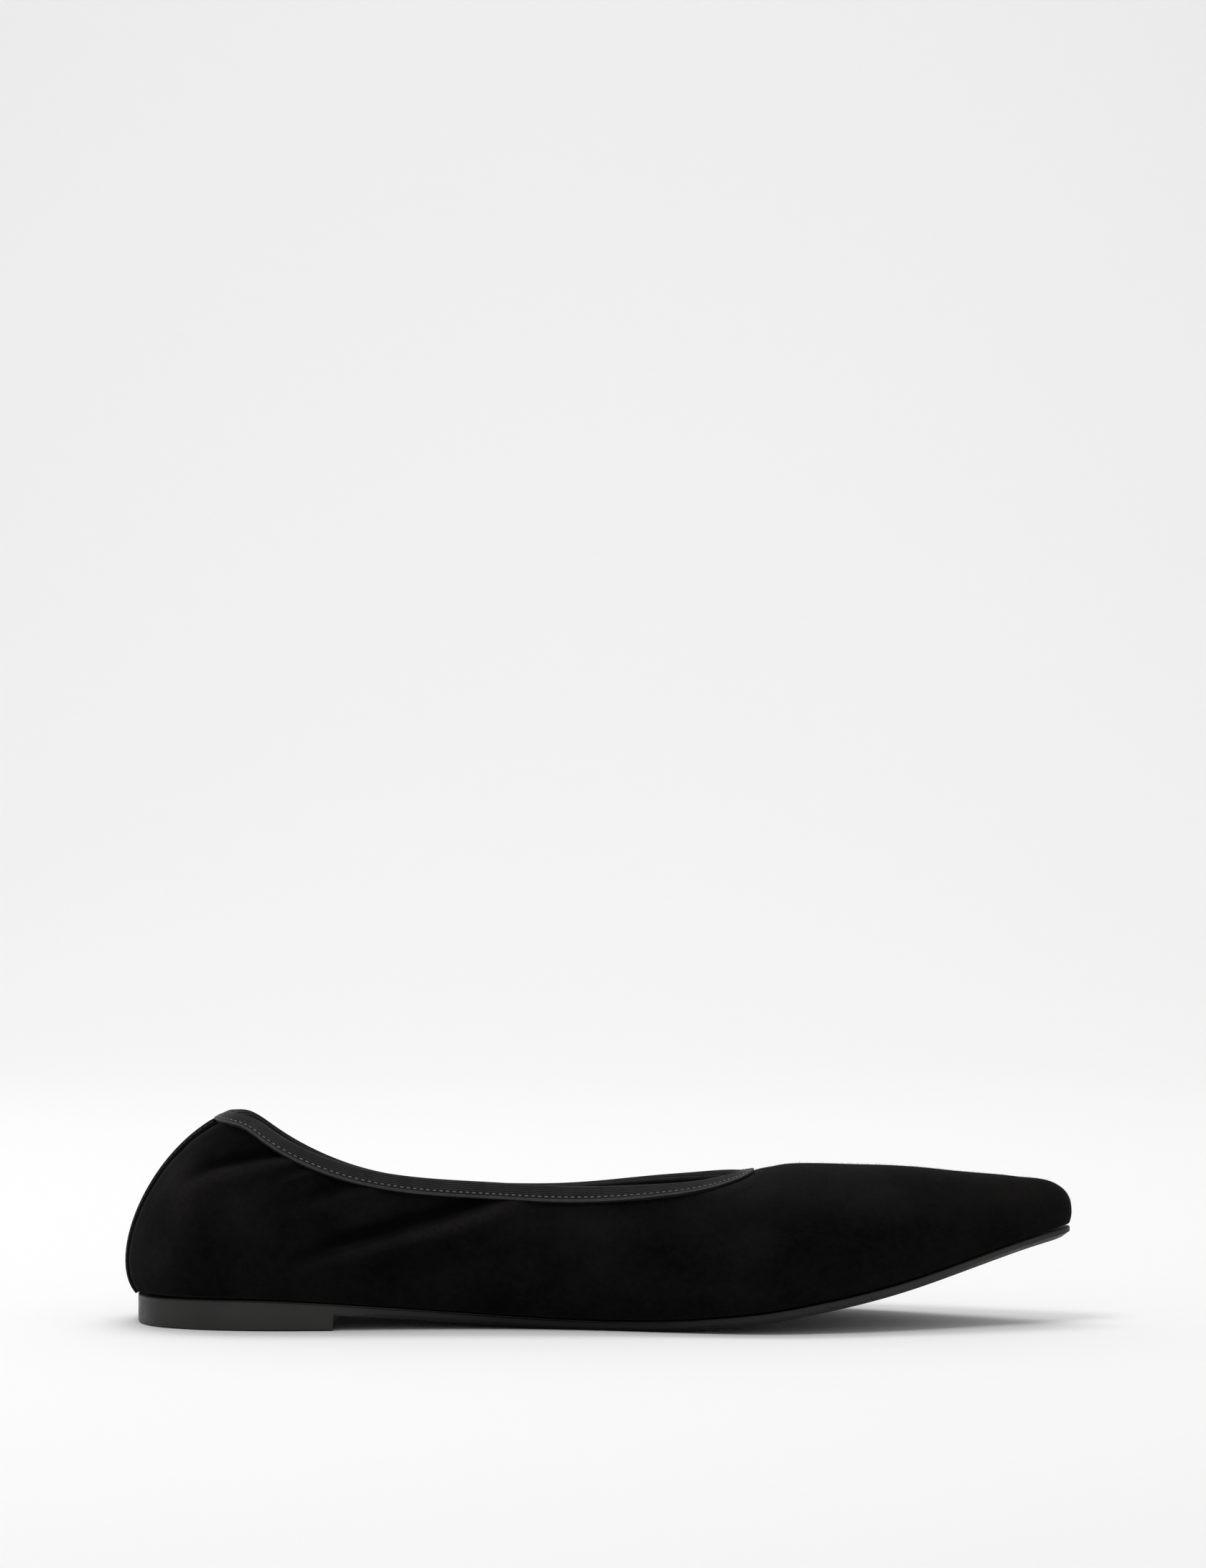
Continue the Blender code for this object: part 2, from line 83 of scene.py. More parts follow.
RISE = (
    (1.220, 0.000, 1.053, 0.0000, 0.00, 0.207, 1.000, 0.00, 0.00, 1.00, 1.00, 0.00),
    (1.220, 0.000, 1.057, 0.0000, 0.00, 0.207, 1.000, 0.00, 0.00, 0.97, 0.99, 0.00),
    (1.230, 0.000, 1.068, 0.0000, 0.00, 0.205, 0.995, 0.00, 0.03, 0.87, 0.94, 0.00),
    (1.250, 0.000, 1.078, 0.0000, 0.00, 0.200, 0.982, 0.00, 0.10, 0.62, 0.82, 0.00),
    (1.267, 0.000, 1.080, 0.0000, 0.00, 0.200, 0.877, 0.00, 0.35, 0.33, 0.59, 0.00),
    (1.198, 0.000, 1.080, 0.0000, 0.00, 0.200, 0.590, 0.00, 0.65, 0.12, 0.34, 0.00),
    (0.942, 0.000, 1.065, 0.0000, 0.00, 0.210, 0.296, 0.00, 0.90, 0.00, 0.18, 0.00),
    (0.593, 0.000, 0.840, 0.0291, 0.25, 0.230, 0.130, 0.00, 1.00, 0.00, 0.08, 0.00),
    (0.228, 0.000, 0.640, 0.0153, 0.50, 0.245, 0.060, 0.00, 0.97, 0.00, 0.02, 0.00),
    (-0.035, 0.000, 0.395, 0.0384, 0.75, 0.260, 0.005, 0.00, 0.74, 0.00, 0.00, 0.00),
    (-0.030, 0.000, 0.148, 0.0801, 0.90, 0.290, 0.000, 0.17, 0.38, 0.00, 0.00, 0.00),
    (0.000, 0.040, 0.000, 0.1846, 0.82, 0.310, 0.000, 0.45, 0.08, 0.00, 0.00, 0.00),
    (0.000, 0.094, 0.000, 0.4333, 0.50, 0.330, 0.000, 1.00, 0.00, 0.00, 0.00, 0.00),
    (0.000, 0.127, 0.000, 0.7347, 0.24, 0.332, 0.000, 1.40, 0.00, 0.00, 0.00, 0.00),
    (0.000, 0.182, 0.000, 0.8945, 0.10, 0.335, 0.000, 1.90, 0.00, 0.00, 0.00, 0.00),
    (0.000, 0.308, 0.000, 0.8929, 0.02, 0.350, 0.000, 2.50, 0.00, 0.00, 0.00, 0.00),
    (0.000, 0.466, 0.000, 0.7950, 0.00, 0.370, 0.000, 3.10, 0.00, 0.00, 0.00, 0.00),
    (0.000, 0.653, 0.000, 0.6340, 0.00, 0.395, 0.000, 3.70, 0.00, 0.00, 0.00, 0.05),
    (0.000, 0.808, 0.000, 0.5100, 0.00, 0.420, 0.000, 4.30, 0.00, 0.00, 0.00, 0.25),
    (0.000, 0.914, 0.000, 0.4220, 0.00, 0.430, 0.000, 4.90, 0.00, 0.00, 0.00, 0.60),
    (0.000, 0.977, 0.000, 0.3730, 0.00, 0.420, 0.000, 5.50, 0.00, 0.00, 0.00, 0.90),
    (0.000, 1.000, 0.000, 0.3520, 0.00, 0.410, 0.000, 6.10, 0.00, 0.00, 0.00, 1.00),
)
# Columns that change sign across the centre line, and the stations of throat and tip
CROSSING = ("medial", "lateral", "swell", "shoulder")
THROAT = 12
TIP = len(PLAN) - 1

# Step in station and height by which a slope of the surface is measured
PROBE = 1e-3

# Sizes of the solids that more than one piece follows
WALL = 0.0015
CLEARANCE = 0.0003
TAPE_WIDTH = 0.0038

# Suede and tape lift off the last towards the throat: from where, in full where, and how far
LIFT_START = 0.124
LIFT_FULL = 0.141
THROAT_LIFT = 0.0005

# Columns in the collar's last span before the throat, and how they crowd towards it
TURN_COLUMNS = 31
TURN_EASE = 1.8

SHEEN_ROUGHNESS = 0.4


class Side(Enum):
    """The two sides of the shoe, as the sign of y."""

    MEDIAL = -1
    LATERAL = 1


class Slot(Enum):
    """The record's material slots."""

    SUEDE = "suede"
    ELASTIC = "elastic"
    OUTSOLE = "outsole"
    INSOLE = "insole"


def smooth_step(low: float, high: float, value: Array) -> Array:
    """Rises softly from 0 at low to 1 at high.

    Args:
        low: Value where the rise starts.
        high: Value where the rise ends.
        value: The values to look up.

    Returns:
        The share risen at each value.
    """
    share = np.clip((value - low) / (high - low), 0, 1)
    return share * share * (3 - 2 * share)


def bell(value: Array, middle: float, width: float) -> Array:
    """A soft rise, 1 at the middle and fading over about the width on either side."""
    return np.exp(-((value - middle) / width) ** 2)


@dataclass(frozen=True)
class Last:
    """The last that the shoe is made on, with the same sizes and tables as the solids."""

    sole_length: float = 0.2584
    ball_width: float = 0.0753
    heel_width: float = 0.055
    heel_centre: float = 0.026
    back_height: float = 0.0488
    vamp_height: float = 0.0361
    waist_height: float = 0.0381
    outer_side_drop: float = 0.0048
    side_swell: float = 0.011
    back_swell: float = 0.0102
    back_lean: float = 0.037
    high_lean: float = 0.23
    nose_swell: float = 0.0022
    nose_slope: float = 0.0104
    high_nose: float = 0.27
    sole_thickness: float = 0.00305
    shank_lift: float = 0.0043
    toe_spring: float = 0.02395
    search_rounds: int = 36
    walk_steps: int = 4

    @cached_property
    def curves(self) -> dict[str, tuple[Array, Array]]:
        """Each column of the tables with its bends, by the column's name."""
        curves = {}
        for names, rows in ((PLAN_COLUMNS, PLAN), (RISE_COLUMNS, RISE)):
            for name, values in zip(names, np.array(rows).T):
                curves[name] = (values, self.bends(values, name in CROSSING))
        return curves

    @staticmethod
    def bends(values: Array, crossing: bool) -> Array:
        """Second derivatives of the smooth curve through one value for each station.

        Args:
            values: One value for each station.
            crossing: Whether the column changes sign across the centre line.

        Returns:
            The second derivative at each station.
        """
        count = len(values)
        matrix = np.zeros((count, count))
        target = np.zeros(count)
        for i in range(1, count - 1):
            matrix[i, i - 1:i + 2] = (1, 4, 1)
            target[i] = 6 * (values[i - 1] - 2 * values[i] + values[i + 1])
        if crossing:
            matrix[0, 0] = 1
            matrix[-1, -1] = 1
        else:
            matrix[0, :2] = (2, 1)
            matrix[-1, -2:] = (1, 2)
            target[0] = 6 * (values[1] - values[0])
            target[-1] = -6 * (values[-1] - values[-2])
        return np.linalg.solve(matrix, target)

    def look(self, name: str, station: Array) -> Array:
        """A column's value at any station, also between rows.

        Args:
            name: The column's name.
            station: Stations to look up.

        Returns:
            The value at each station.
        """
        values, bend = self.curves[name]
        before = np.clip(np.floor(station).astype(int), 0, TIP - 1)
        ahead = station - before
        behind = 1 - ahead
        straight = behind * values[before] + ahead * values[before + 1]
        curved = (behind ** 3 - behind) * bend[before] + (ahead ** 3 - ahead) * bend[before + 1]
        return straight + curved / 6

    def blended_width(self, station: Array) -> Array:
        """The width that a station's shares refer to."""
        return self.heel_width + (self.ball_width - self.heel_width) * self.look("ball", station)

    def sole_lift(self, station: Array) -> Array:
        """Height of the sole's underside over the floor, ahead of the heel."""
        spring = self.toe_spring * self.look("spring", station)
        return self.shank_lift * self.look("arch", station) + spring

    def feather(self, side: Array, station: Array) -> tuple[Array, Array, Array]:
        """The feather edge, where the upper meets the sole.

        Args:
            side: Sign of y.
            station: Stations along the shoe.

        Returns:
            x, y and z of the edge.
        """
        share = np.where(side < 0, self.look("medial", station), self.look("lateral", station))
        x = self.sole_length * self.look("along", station) - self.heel_centre
        y = side * share * self.blended_width(station)
        return x, y, self.sole_thickness + self.sole_lift(station)

    def ridge_height(self, station: Array) -> Array:
        """Height of the ridge of the last.

        Args:
            station: Stations along the shoe.

        Returns:
            Height over the floor.
        """
        over_sole = self.back_height * self.look("back", station)
        over_sole = over_sole + self.vamp_height * self.look("vamp", station)
        over_sole = over_sole + self.waist_height * self.look("waist", station)
        return self.sole_thickness + self.sole_lift(station) + over_sole

    def surface(self, side: Array, station: Array, up: Array) -> Array:
        """Points on the upper's outer face.

        Args:
            side: Sign of y.
            station: Stations along the shoe.
            up: 0 at the feather edge, 1 at the ridge.

        Returns:
            Points, one more axis than the arguments.
        """
        side, station, up = np.broadcast_arrays(side, np.asarray(station, float),
                                                np.asarray(up, float))
        x, y, z = self.feather(side, station)
        width = self.blended_width(station)
        lean, nose = self.back_lean * self.look("lean", station), self.look("nose", station)
        top = self.ridge_height(station)
        ridge_y = self.look("swing", station) * width
        low_x = x - self.back_swell * self.look("tuck", station) + self.nose_swell * nose
        low_y = y + side * self.side_swell * self.look("swell", station)
        high_x = x + self.high_lean * lean + self.high_nose * self.nose_swell * nose
        corners = (
            (x, y, z),
            (low_x, low_y, z + self.look("rise", station) * (top - z)),
            (high_x, ridge_y + side * self.look("shoulder", station) * width, top),
            (x + lean - self.nose_slope * nose, ridge_y, top),
        )
        down = 1 - up
        shares = (down ** 3, 3 * down ** 2 * up, 3 * down * up ** 2, up ** 3)
        return sum(np.stack(corner, axis=-1) * share[..., None]
                   for corner, share in zip(corners, shares))

    def directions(self, side: Array, station: Array, up: Array) -> tuple[Array, Array, Array]:
        """How the surface runs at points on it.

        Args:
            side: Sign of y.
            station: Stations along the shoe.
            up: 0 at the feather edge, 1 at the ridge.

        Returns:
            Its change for each station and for the whole height, and its outward normal.
        """
        along = self.surface(side, station + PROBE, up) - self.surface(side, station - PROBE, up)
        rising = self.surface(side, station, up + PROBE) - self.surface(side, station, up - PROBE)
        outward = -np.asarray(side)[..., None] * np.cross(along, rising)
        outward /= np.linalg.norm(outward, axis=-1, keepdims=True)
        return along / (2 * PROBE), rising / (2 * PROBE), outward

    def raised(self, side: Array, station: Array, up: Array, height: Array) -> Array:
        """Points over the upper's outer face, or under it where the height is negative.

        Args:
            side: Sign of y.
            station: Stations along the shoe.
            up: 0 at the feather edge, 1 at the ridge.
            height: Height over the face.

        Returns:
            Points, one more axis than the arguments.
        """
        side, station, up = np.broadcast_arrays(side, np.asarray(station, float),
                                                np.asarray(up, float))
        outward = self.directions(side, station, up)[2]
        return self.surface(side, station, up) + outward * np.asarray(height)[..., None]

    def walk(self, side: Array, station: Array, up: Array, heading: Array,
             distance: float) -> tuple[Array, Array]:
        """Follows the surface for a distance in a heading.

        Args:
            side: Sign of y.
            station: Where the walk starts.
            up: Where the walk starts.
            heading: Direction to follow.
            distance: Length of the walk.

        Returns:
            The station and the height where it ends.
        """
        for _ in range(self.walk_steps):
            along, rising, _outward = self.directions(side, station, up)
            aa = np.sum(along * along, axis=-1)
            ar = np.sum(along * rising, axis=-1)
            rr = np.sum(rising * rising, axis=-1)
            ah = np.sum(along * heading, axis=-1)
            rh = np.sum(rising * heading, axis=-1)
            to_station = (ah * rr - rh * ar) / (aa * rr - ar * ar)
            to_up = (aa * rh - ar * ah) / (aa * rr - ar * ar)
            step = along * to_station[..., None] + rising * to_up[..., None]
            reach = np.linalg.norm(step, axis=-1)
            station = station + to_station * distance / self.walk_steps / reach
            up = up + to_up * distance / self.walk_steps / reach
        return station, up

    def collar_up(self, side: Array, station: Array) -> Array:
        """How far up the last the upper goes.

        Args:
            side: Sign of y.
            station: Stations along the shoe.

        Returns:
            The height of its collar, or 1, the ridge, from the throat on.
        """
        side, station = np.broadcast_arrays(side, np.asarray(station, float))
        back_edge = self.sole_thickness + self.sole_lift(np.array(0.0)) + self.back_height
        throat_edge = self.ridge_height(np.array(float(THROAT)))
        height = self.waist_height + (back_edge - self.waist_height) * self.look("rear", station)
        height = height + (throat_edge - self.waist_height) * self.look("front", station)
        height = height - np.where(side > 0, self.outer_side_drop * self.look("drop", station), 0.0)
        low, high = np.zeros(station.shape), np.ones(station.shape)
        for _ in range(self.search_rounds):
            middle = (low + high) / 2
            below = self.surface(side, station, middle)[..., 2] < height
            low = np.where(below, middle, low)
            high = np.where(below, high, middle)
        return np.where(station >= THROAT, 1.0, high)

    def plan_edge(self, side: int, station: Array, inset: Array) -> tuple[Array, Array]:
        """The feather edge in plan, moved in by an inset square to it.

        Args:
            side: Sign of y.
            station: Stations along the shoe.
            inset: How far in, or out where it is negative.

        Returns:
            x and y of the line.
        """
        x, y, _z = self.feather(side, station)
        x_ahead, y_ahead, _z = self.feather(side, station + PROBE)
        x_behind, y_behind, _z = self.feather(side, station - PROBE)
        run = np.hypot(x_ahead - x_behind, y_ahead - y_behind)
        in_x = side * (y_ahead - y_behind) / run
        in_y = -side * (x_ahead - x_behind) / run
        return x + inset * in_x, y + inset * in_y


def throat_share(x: Array) -> Array:
    """Share of the throat's lift at x along the shoe."""
    return smooth_step(LIFT_START, LIFT_FULL, x)


def turning_stations() -> Array:
    """Stations of the collar's last span, ever closer towards the throat, where it turns."""
    return THROAT - (1 - np.linspace(0, 1, TURN_COLUMNS)) ** TURN_EASE


def quads(columns: int, rows: int, closed: bool = False, flip: bool = False) -> Array:
    """Corner numbers of the faces of a grid of points, column by column.

    Args:
        columns: Number of columns.
        rows: Points in a column.
        closed: Whether a column's last point joins its first.
        flip: Whether the faces are turned over.

    Returns:
        Four corner numbers a face.
    """
    high = np.arange(rows if closed else rows - 1)
    i, j = (grid.ravel() for grid in np.meshgrid(np.arange(columns - 1), high, indexing="ij"))
    here, ahead, above = i * rows, (i + 1) * rows, (j + 1) % rows
    faces = np.stack((here + j, ahead + j, ahead + above, here + above), axis=1)
    return faces[:, ::-1] if flip else faces


@dataclass
class Grid:
    """A grid of points with its faces and, where a pattern follows it, flat coordinates."""

    points: Array
    faces: Array
    flat: Array | None = None


def add_object(name: str, data: bpy.types.ID) -> bpy.types.Object:
    """Adds an object to the scene.

    Args:
        name: The object's name.
        data: What it shows.

    Returns:
        The object.
    """
    thing = bpy.data.objects.new(name, data)
    bpy.context.scene.collection.objects.link(thing)
    return thing


def make_piece(name: str, grids: list[Grid], weld: float = 2e-5) -> bpy.types.Object:
    """Joins grids into one smooth mesh piece.

    Args:
        name: The piece's name.
        grids: Grids to join.
        weld: Points closer than this are merged.

    Returns:
        The new object, in the scene.
    """
    points = np.concatenate([grid.points.reshape(-1, 3) for grid in grids])
    starts = np.cumsum([0] + [grid.points.size // 3 for grid in grids[:-1]])
    faces = np.concatenate([grid.faces + start for grid, start in zip(grids, starts)])
    mesh = bpy.data.meshes.new(name)
    mesh.from_pydata(points.tolist(), [], faces.tolist())
    if grids[0].flat is not None:
        flat = np.concatenate([grid.flat.reshape(-1, 2) for grid in grids])
        corners = np.zeros(len(mesh.loops), np.int32)
        mesh.loops.foreach_get("vertex_index", corners)
        layer = mesh.uv_layers.new(name="flat")
        layer.data.foreach_set("uv", flat[corners].astype(np.float32).ravel())
    work = bmesh.new()
    work.from_mesh(mesh)
    bmesh.ops.remove_doubles(work, verts=work.verts, dist=weld)
    work.to_mesh(mesh)
    work.free()
    mesh.shade_smooth()
    return add_object(name, mesh)


def face_outwards(piece: bpy.types.Object) -> None:
    """Fills a closed piece's open ends, if it has any, and turns its faces outwards.

    Args:
        piece: The mesh piece to change.
    """
    work = bmesh.new()
    work.from_mesh(piece.data)
    bmesh.ops.holes_fill(work, edges=[edge for edge in work.edges if edge.is_boundary])
    bmesh.ops.recalc_face_normals(work, faces=work.faces)
    work.to_mesh(piece.data)
    work.free()


def plate_ring(last: Last, station: Array, levels: tuple, across: int) -> Array:
    """Points round a plate that follows the feather edge, for each of its columns.

    They run over its upper face from the inner side, down its outer wall, back under it and
    up its inner wall.

    Args:
        last: The last that it lies under.
        station: Columns along the shoe.
        levels: Inset and height of each level of its walls, from the upper face down.
        across: Points across each face.

    Returns:
        Points, column by column.
    """
    walls = []
    for side in Side:
        rows = []
        for inset, height in levels:
            x, y = last.plan_edge(side.value, station, inset)
            rows.append(np.stack((x, y, np.broadcast_to(height, x.shape)), axis=-1))
        walls.append(rows)
    medial, lateral = walls
    share = np.linspace(0, 1, across)[:, None, None]
    over = medial[0] + (lateral[0] - medial[0]) * share
    under = lateral[-1] + (medial[-1] - lateral[-1]) * share
    return np.stack([*over, *lateral[1:-1], *under, *medial[-2:0:-1]], axis=1)


def make_paths(name: str, paths: list[Array], closed: bool) -> bpy.types.Object:
    """A mesh of edges alone, which a node tree follows.

    Args:
        name: The carrier's name.
        paths: Points of each path.
        closed: Whether each path runs back to its start.

    Returns:
        The new object, in the scene.
    """
    points, edges = [], []
    for path in paths:
        start, count = len(points), len(path)
        points.extend(path.tolist())
        edges.extend((start + i, start + i + 1) for i in range(count - 1))
        if closed:
            edges.append((start + count - 1, start))
    mesh = bpy.data.meshes.new(name)
    mesh.from_pydata(points, edges, [])
    return add_object(name, mesh)


class Tree:
    """A node tree while it is put together."""

    def __init__(self, tree: bpy.types.NodeTree) -> None:
        """Takes the tree as Blender makes it."""
        self.tree = tree

    def node(self, kind: str, inputs: dict[str | int, object] | None = None,
             **settings: object) -> bpy.types.Node:
        """Adds a node.

        Args:
            kind: The node's type.
            inputs: Each input's plain value, or the socket that feeds it.
            **settings: The node's own settings.

        Returns:
            The node.
        """
        made = self.tree.nodes.new(kind)
        for key, value in settings.items():
            setattr(made, key, value)
        for key, value in (inputs or {}).items():
            if isinstance(value, Socket):
                self.tree.links.new(value, made.inputs[key])
            else:
                made.inputs[key].default_value = value
        return made


class Pattern(Tree):
    """A Geometry Nodes tree with named inputs, which is baked into a plain mesh."""

    KINDS = {float: "NodeSocketFloat", int: "NodeSocketInt",
             bpy.types.Material: "NodeSocketMaterial"}

    def __init__(self, name: str) -> None:
        """Starts the tree with its geometry sockets.

        Args:
            name: The tree's name.
        """
        super().__init__(bpy.data.node_groups.new(name, "GeometryNodeTree"))
        for way in ("INPUT", "OUTPUT"):
            self.tree.interface.new_socket("Geometry", in_out=way,
                                           socket_type="NodeSocketGeometry")
        self.entry = self.node("NodeGroupInput")
        self.carrier = self.entry.outputs["Geometry"]
        self.values: dict[str, object] = {}

    def size(self, name: str, value: float | int | bpy.types.Material) -> Socket:
        """Adds a named input.

        Args:
            name: The input's name.
            value: Its value for this piece.

        Returns:
            The socket that carries it.
        """
        item = self.tree.interface.new_socket(name, in_out="INPUT",
                                              socket_type=self.KINDS[type(value)])
        self.values[item.identifier] = value
        return self.entry.outputs[name]

    def close(self, geometry: Socket, finish: bpy.types.Material) -> "Pattern":
        """Ends the tree: instances become geometry, and it takes its material.

        Args:
            geometry: The last socket.
            finish: The material.

        Returns:
            The whole tree.
        """
        real = self.node("GeometryNodeRealizeInstances", {0: geometry})
        paint = self.node("GeometryNodeSetMaterial", {
            "Geometry": real.outputs[0], "Material": self.size("Finish", finish)})
        self.node("NodeGroupOutput", {0: paint.outputs[0]})
        return self

    def bake(self, carrier: bpy.types.Object, name: str) -> bpy.types.Object:
        """Runs the tree on a carrier, which it uses up.

        Args:
            carrier: The object that the tree runs on.
            name: Name of the result.

        Returns:
            The result as a plain mesh piece.
        """
        modifier = carrier.modifiers.new(name, "NODES")
        modifier.node_group = self.tree
        for identifier, value in self.values.items():
            modifier[identifier] = value
        depsgraph = bpy.context.evaluated_depsgraph_get()
        mesh = bpy.data.meshes.new_from_object(carrier.evaluated_get(depsgraph))
        mesh.name = name
        bpy.data.objects.remove(carrier, do_unlink=True)
        return add_object(name, mesh)


def cord_pattern(name: str, radius: float, sides: int, finish: bpy.types.Material) -> Pattern:
    """A tree that lays a fine round cord along each path.

    Args:
        name: The tree's name.
        radius: The cord's radius.
        sides: Sides of its section.
        finish: Its material.

    Returns:
        The tree.
    """
    pattern = Pattern(name)
    path = pattern.node("GeometryNodeMeshToCurve", {0: pattern.carrier})
    section = pattern.node("GeometryNodeCurvePrimitiveCircle", {
        "Radius": pattern.size("Radius", radius), "Resolution": pattern.size("Sides", sides)})
    cord = pattern.node("GeometryNodeCurveToMesh", {
        "Curve": path.outputs[0], "Profile Curve": section.outputs[0]})
    smooth = pattern.node("GeometryNodeSetShadeSmooth", {0: cord.outputs[0]})
    return pattern.close(smooth.outputs[0], finish)


def stitch_pattern(name: str, pitch: float, length: float, radius: float,
                   finish: bpy.types.Material) -> Pattern:
    """A tree that sews a row of stitches along each path.

    Args:
        name: The tree's name.
        pitch: From one stitch to the next.
        length: Length of a stitch.
        radius: Radius of the thread.
        finish: Its material.

    Returns:
        The tree.
    """
    pattern = Pattern(name)
    path = pattern.node("GeometryNodeMeshToCurve", {0: pattern.carrier})
    spots = pattern.node("GeometryNodeResampleCurve", {
        "Curve": path.outputs[0], "Length": pattern.size("Pitch", pitch)}, mode="LENGTH")
    thread = pattern.node("GeometryNodeMeshIcoSphere", {"Subdivisions": 2})
    smooth = pattern.node("GeometryNodeSetShadeSmooth", {0: thread.outputs["Mesh"]})
    tangent = pattern.node("GeometryNodeInputTangent")
    turn = pattern.node("FunctionNodeAlignRotationToVector", {"Vector": tangent.outputs[0]},
                        axis="X")
    thickness = pattern.size("Radius", radius)
    scale = pattern.node("ShaderNodeCombineXYZ", {
        "X": pattern.size("Half length", length / 2), "Y": thickness, "Z": thickness})
    sewn = pattern.node("GeometryNodeInstanceOnPoints", {
        "Points": spots.outputs[0], "Instance": smooth.outputs[0],
        "Rotation": turn.outputs[0], "Scale": scale.outputs[0]})
    return pattern.close(sewn.outputs[0], finish)


def nap_pattern(name: str, density: float, length: float, radius: float,
                finish: bpy.types.Material) -> Pattern:
    """A tree that stands short loose fibres on a face of suede.

    Args:
        name: The tree's name.
        density: Fibres to a square metre.
        length: Length of a fibre.
        radius: Radius at its root.
        finish: Its material.

    Returns:
        The tree.
    """
    most_turn = (1.1, 1.1, 3.0)
    least_scale, most_scale = (0.7, 0.7, 0.4), (1.0, 1.0, 1.3)
    pattern = Pattern(name)
    spots = pattern.node("GeometryNodeDistributePointsOnFaces", {
        "Mesh": pattern.carrier, "Density": pattern.size("Density", density),
        "Seed": pattern.size("Seed", 7)}, distribute_method="RANDOM")
    fibre = pattern.node("GeometryNodeMeshCone", {
        "Vertices": 3, "Radius Top": 0.0, "Depth": pattern.size("Length", length),
        "Radius Bottom": pattern.size("Root radius", radius)}, fill_type="NONE")
    angles = pattern.node("FunctionNodeRandomValue", {
        "Min": tuple(-angle for angle in most_turn), "Max": most_turn}, data_type="FLOAT_VECTOR")
    lean = pattern.node("FunctionNodeEulerToRotation", {0: angles.outputs["Value"]})
    turn = pattern.node("FunctionNodeRotateRotation", {
        "Rotation": spots.outputs["Rotation"], "Rotate By": lean.outputs[0]},
        rotation_space="LOCAL")
    scale = pattern.node("FunctionNodeRandomValue", {"Min": least_scale, "Max": most_scale},
                         data_type="FLOAT_VECTOR")
    standing = pattern.node("GeometryNodeInstanceOnPoints", {
        "Points": spots.outputs["Points"], "Instance": fibre.outputs["Mesh"],
        "Rotation": turn.outputs[0], "Scale": scale.outputs["Value"]})
    return pattern.close(standing.outputs[0], finish)


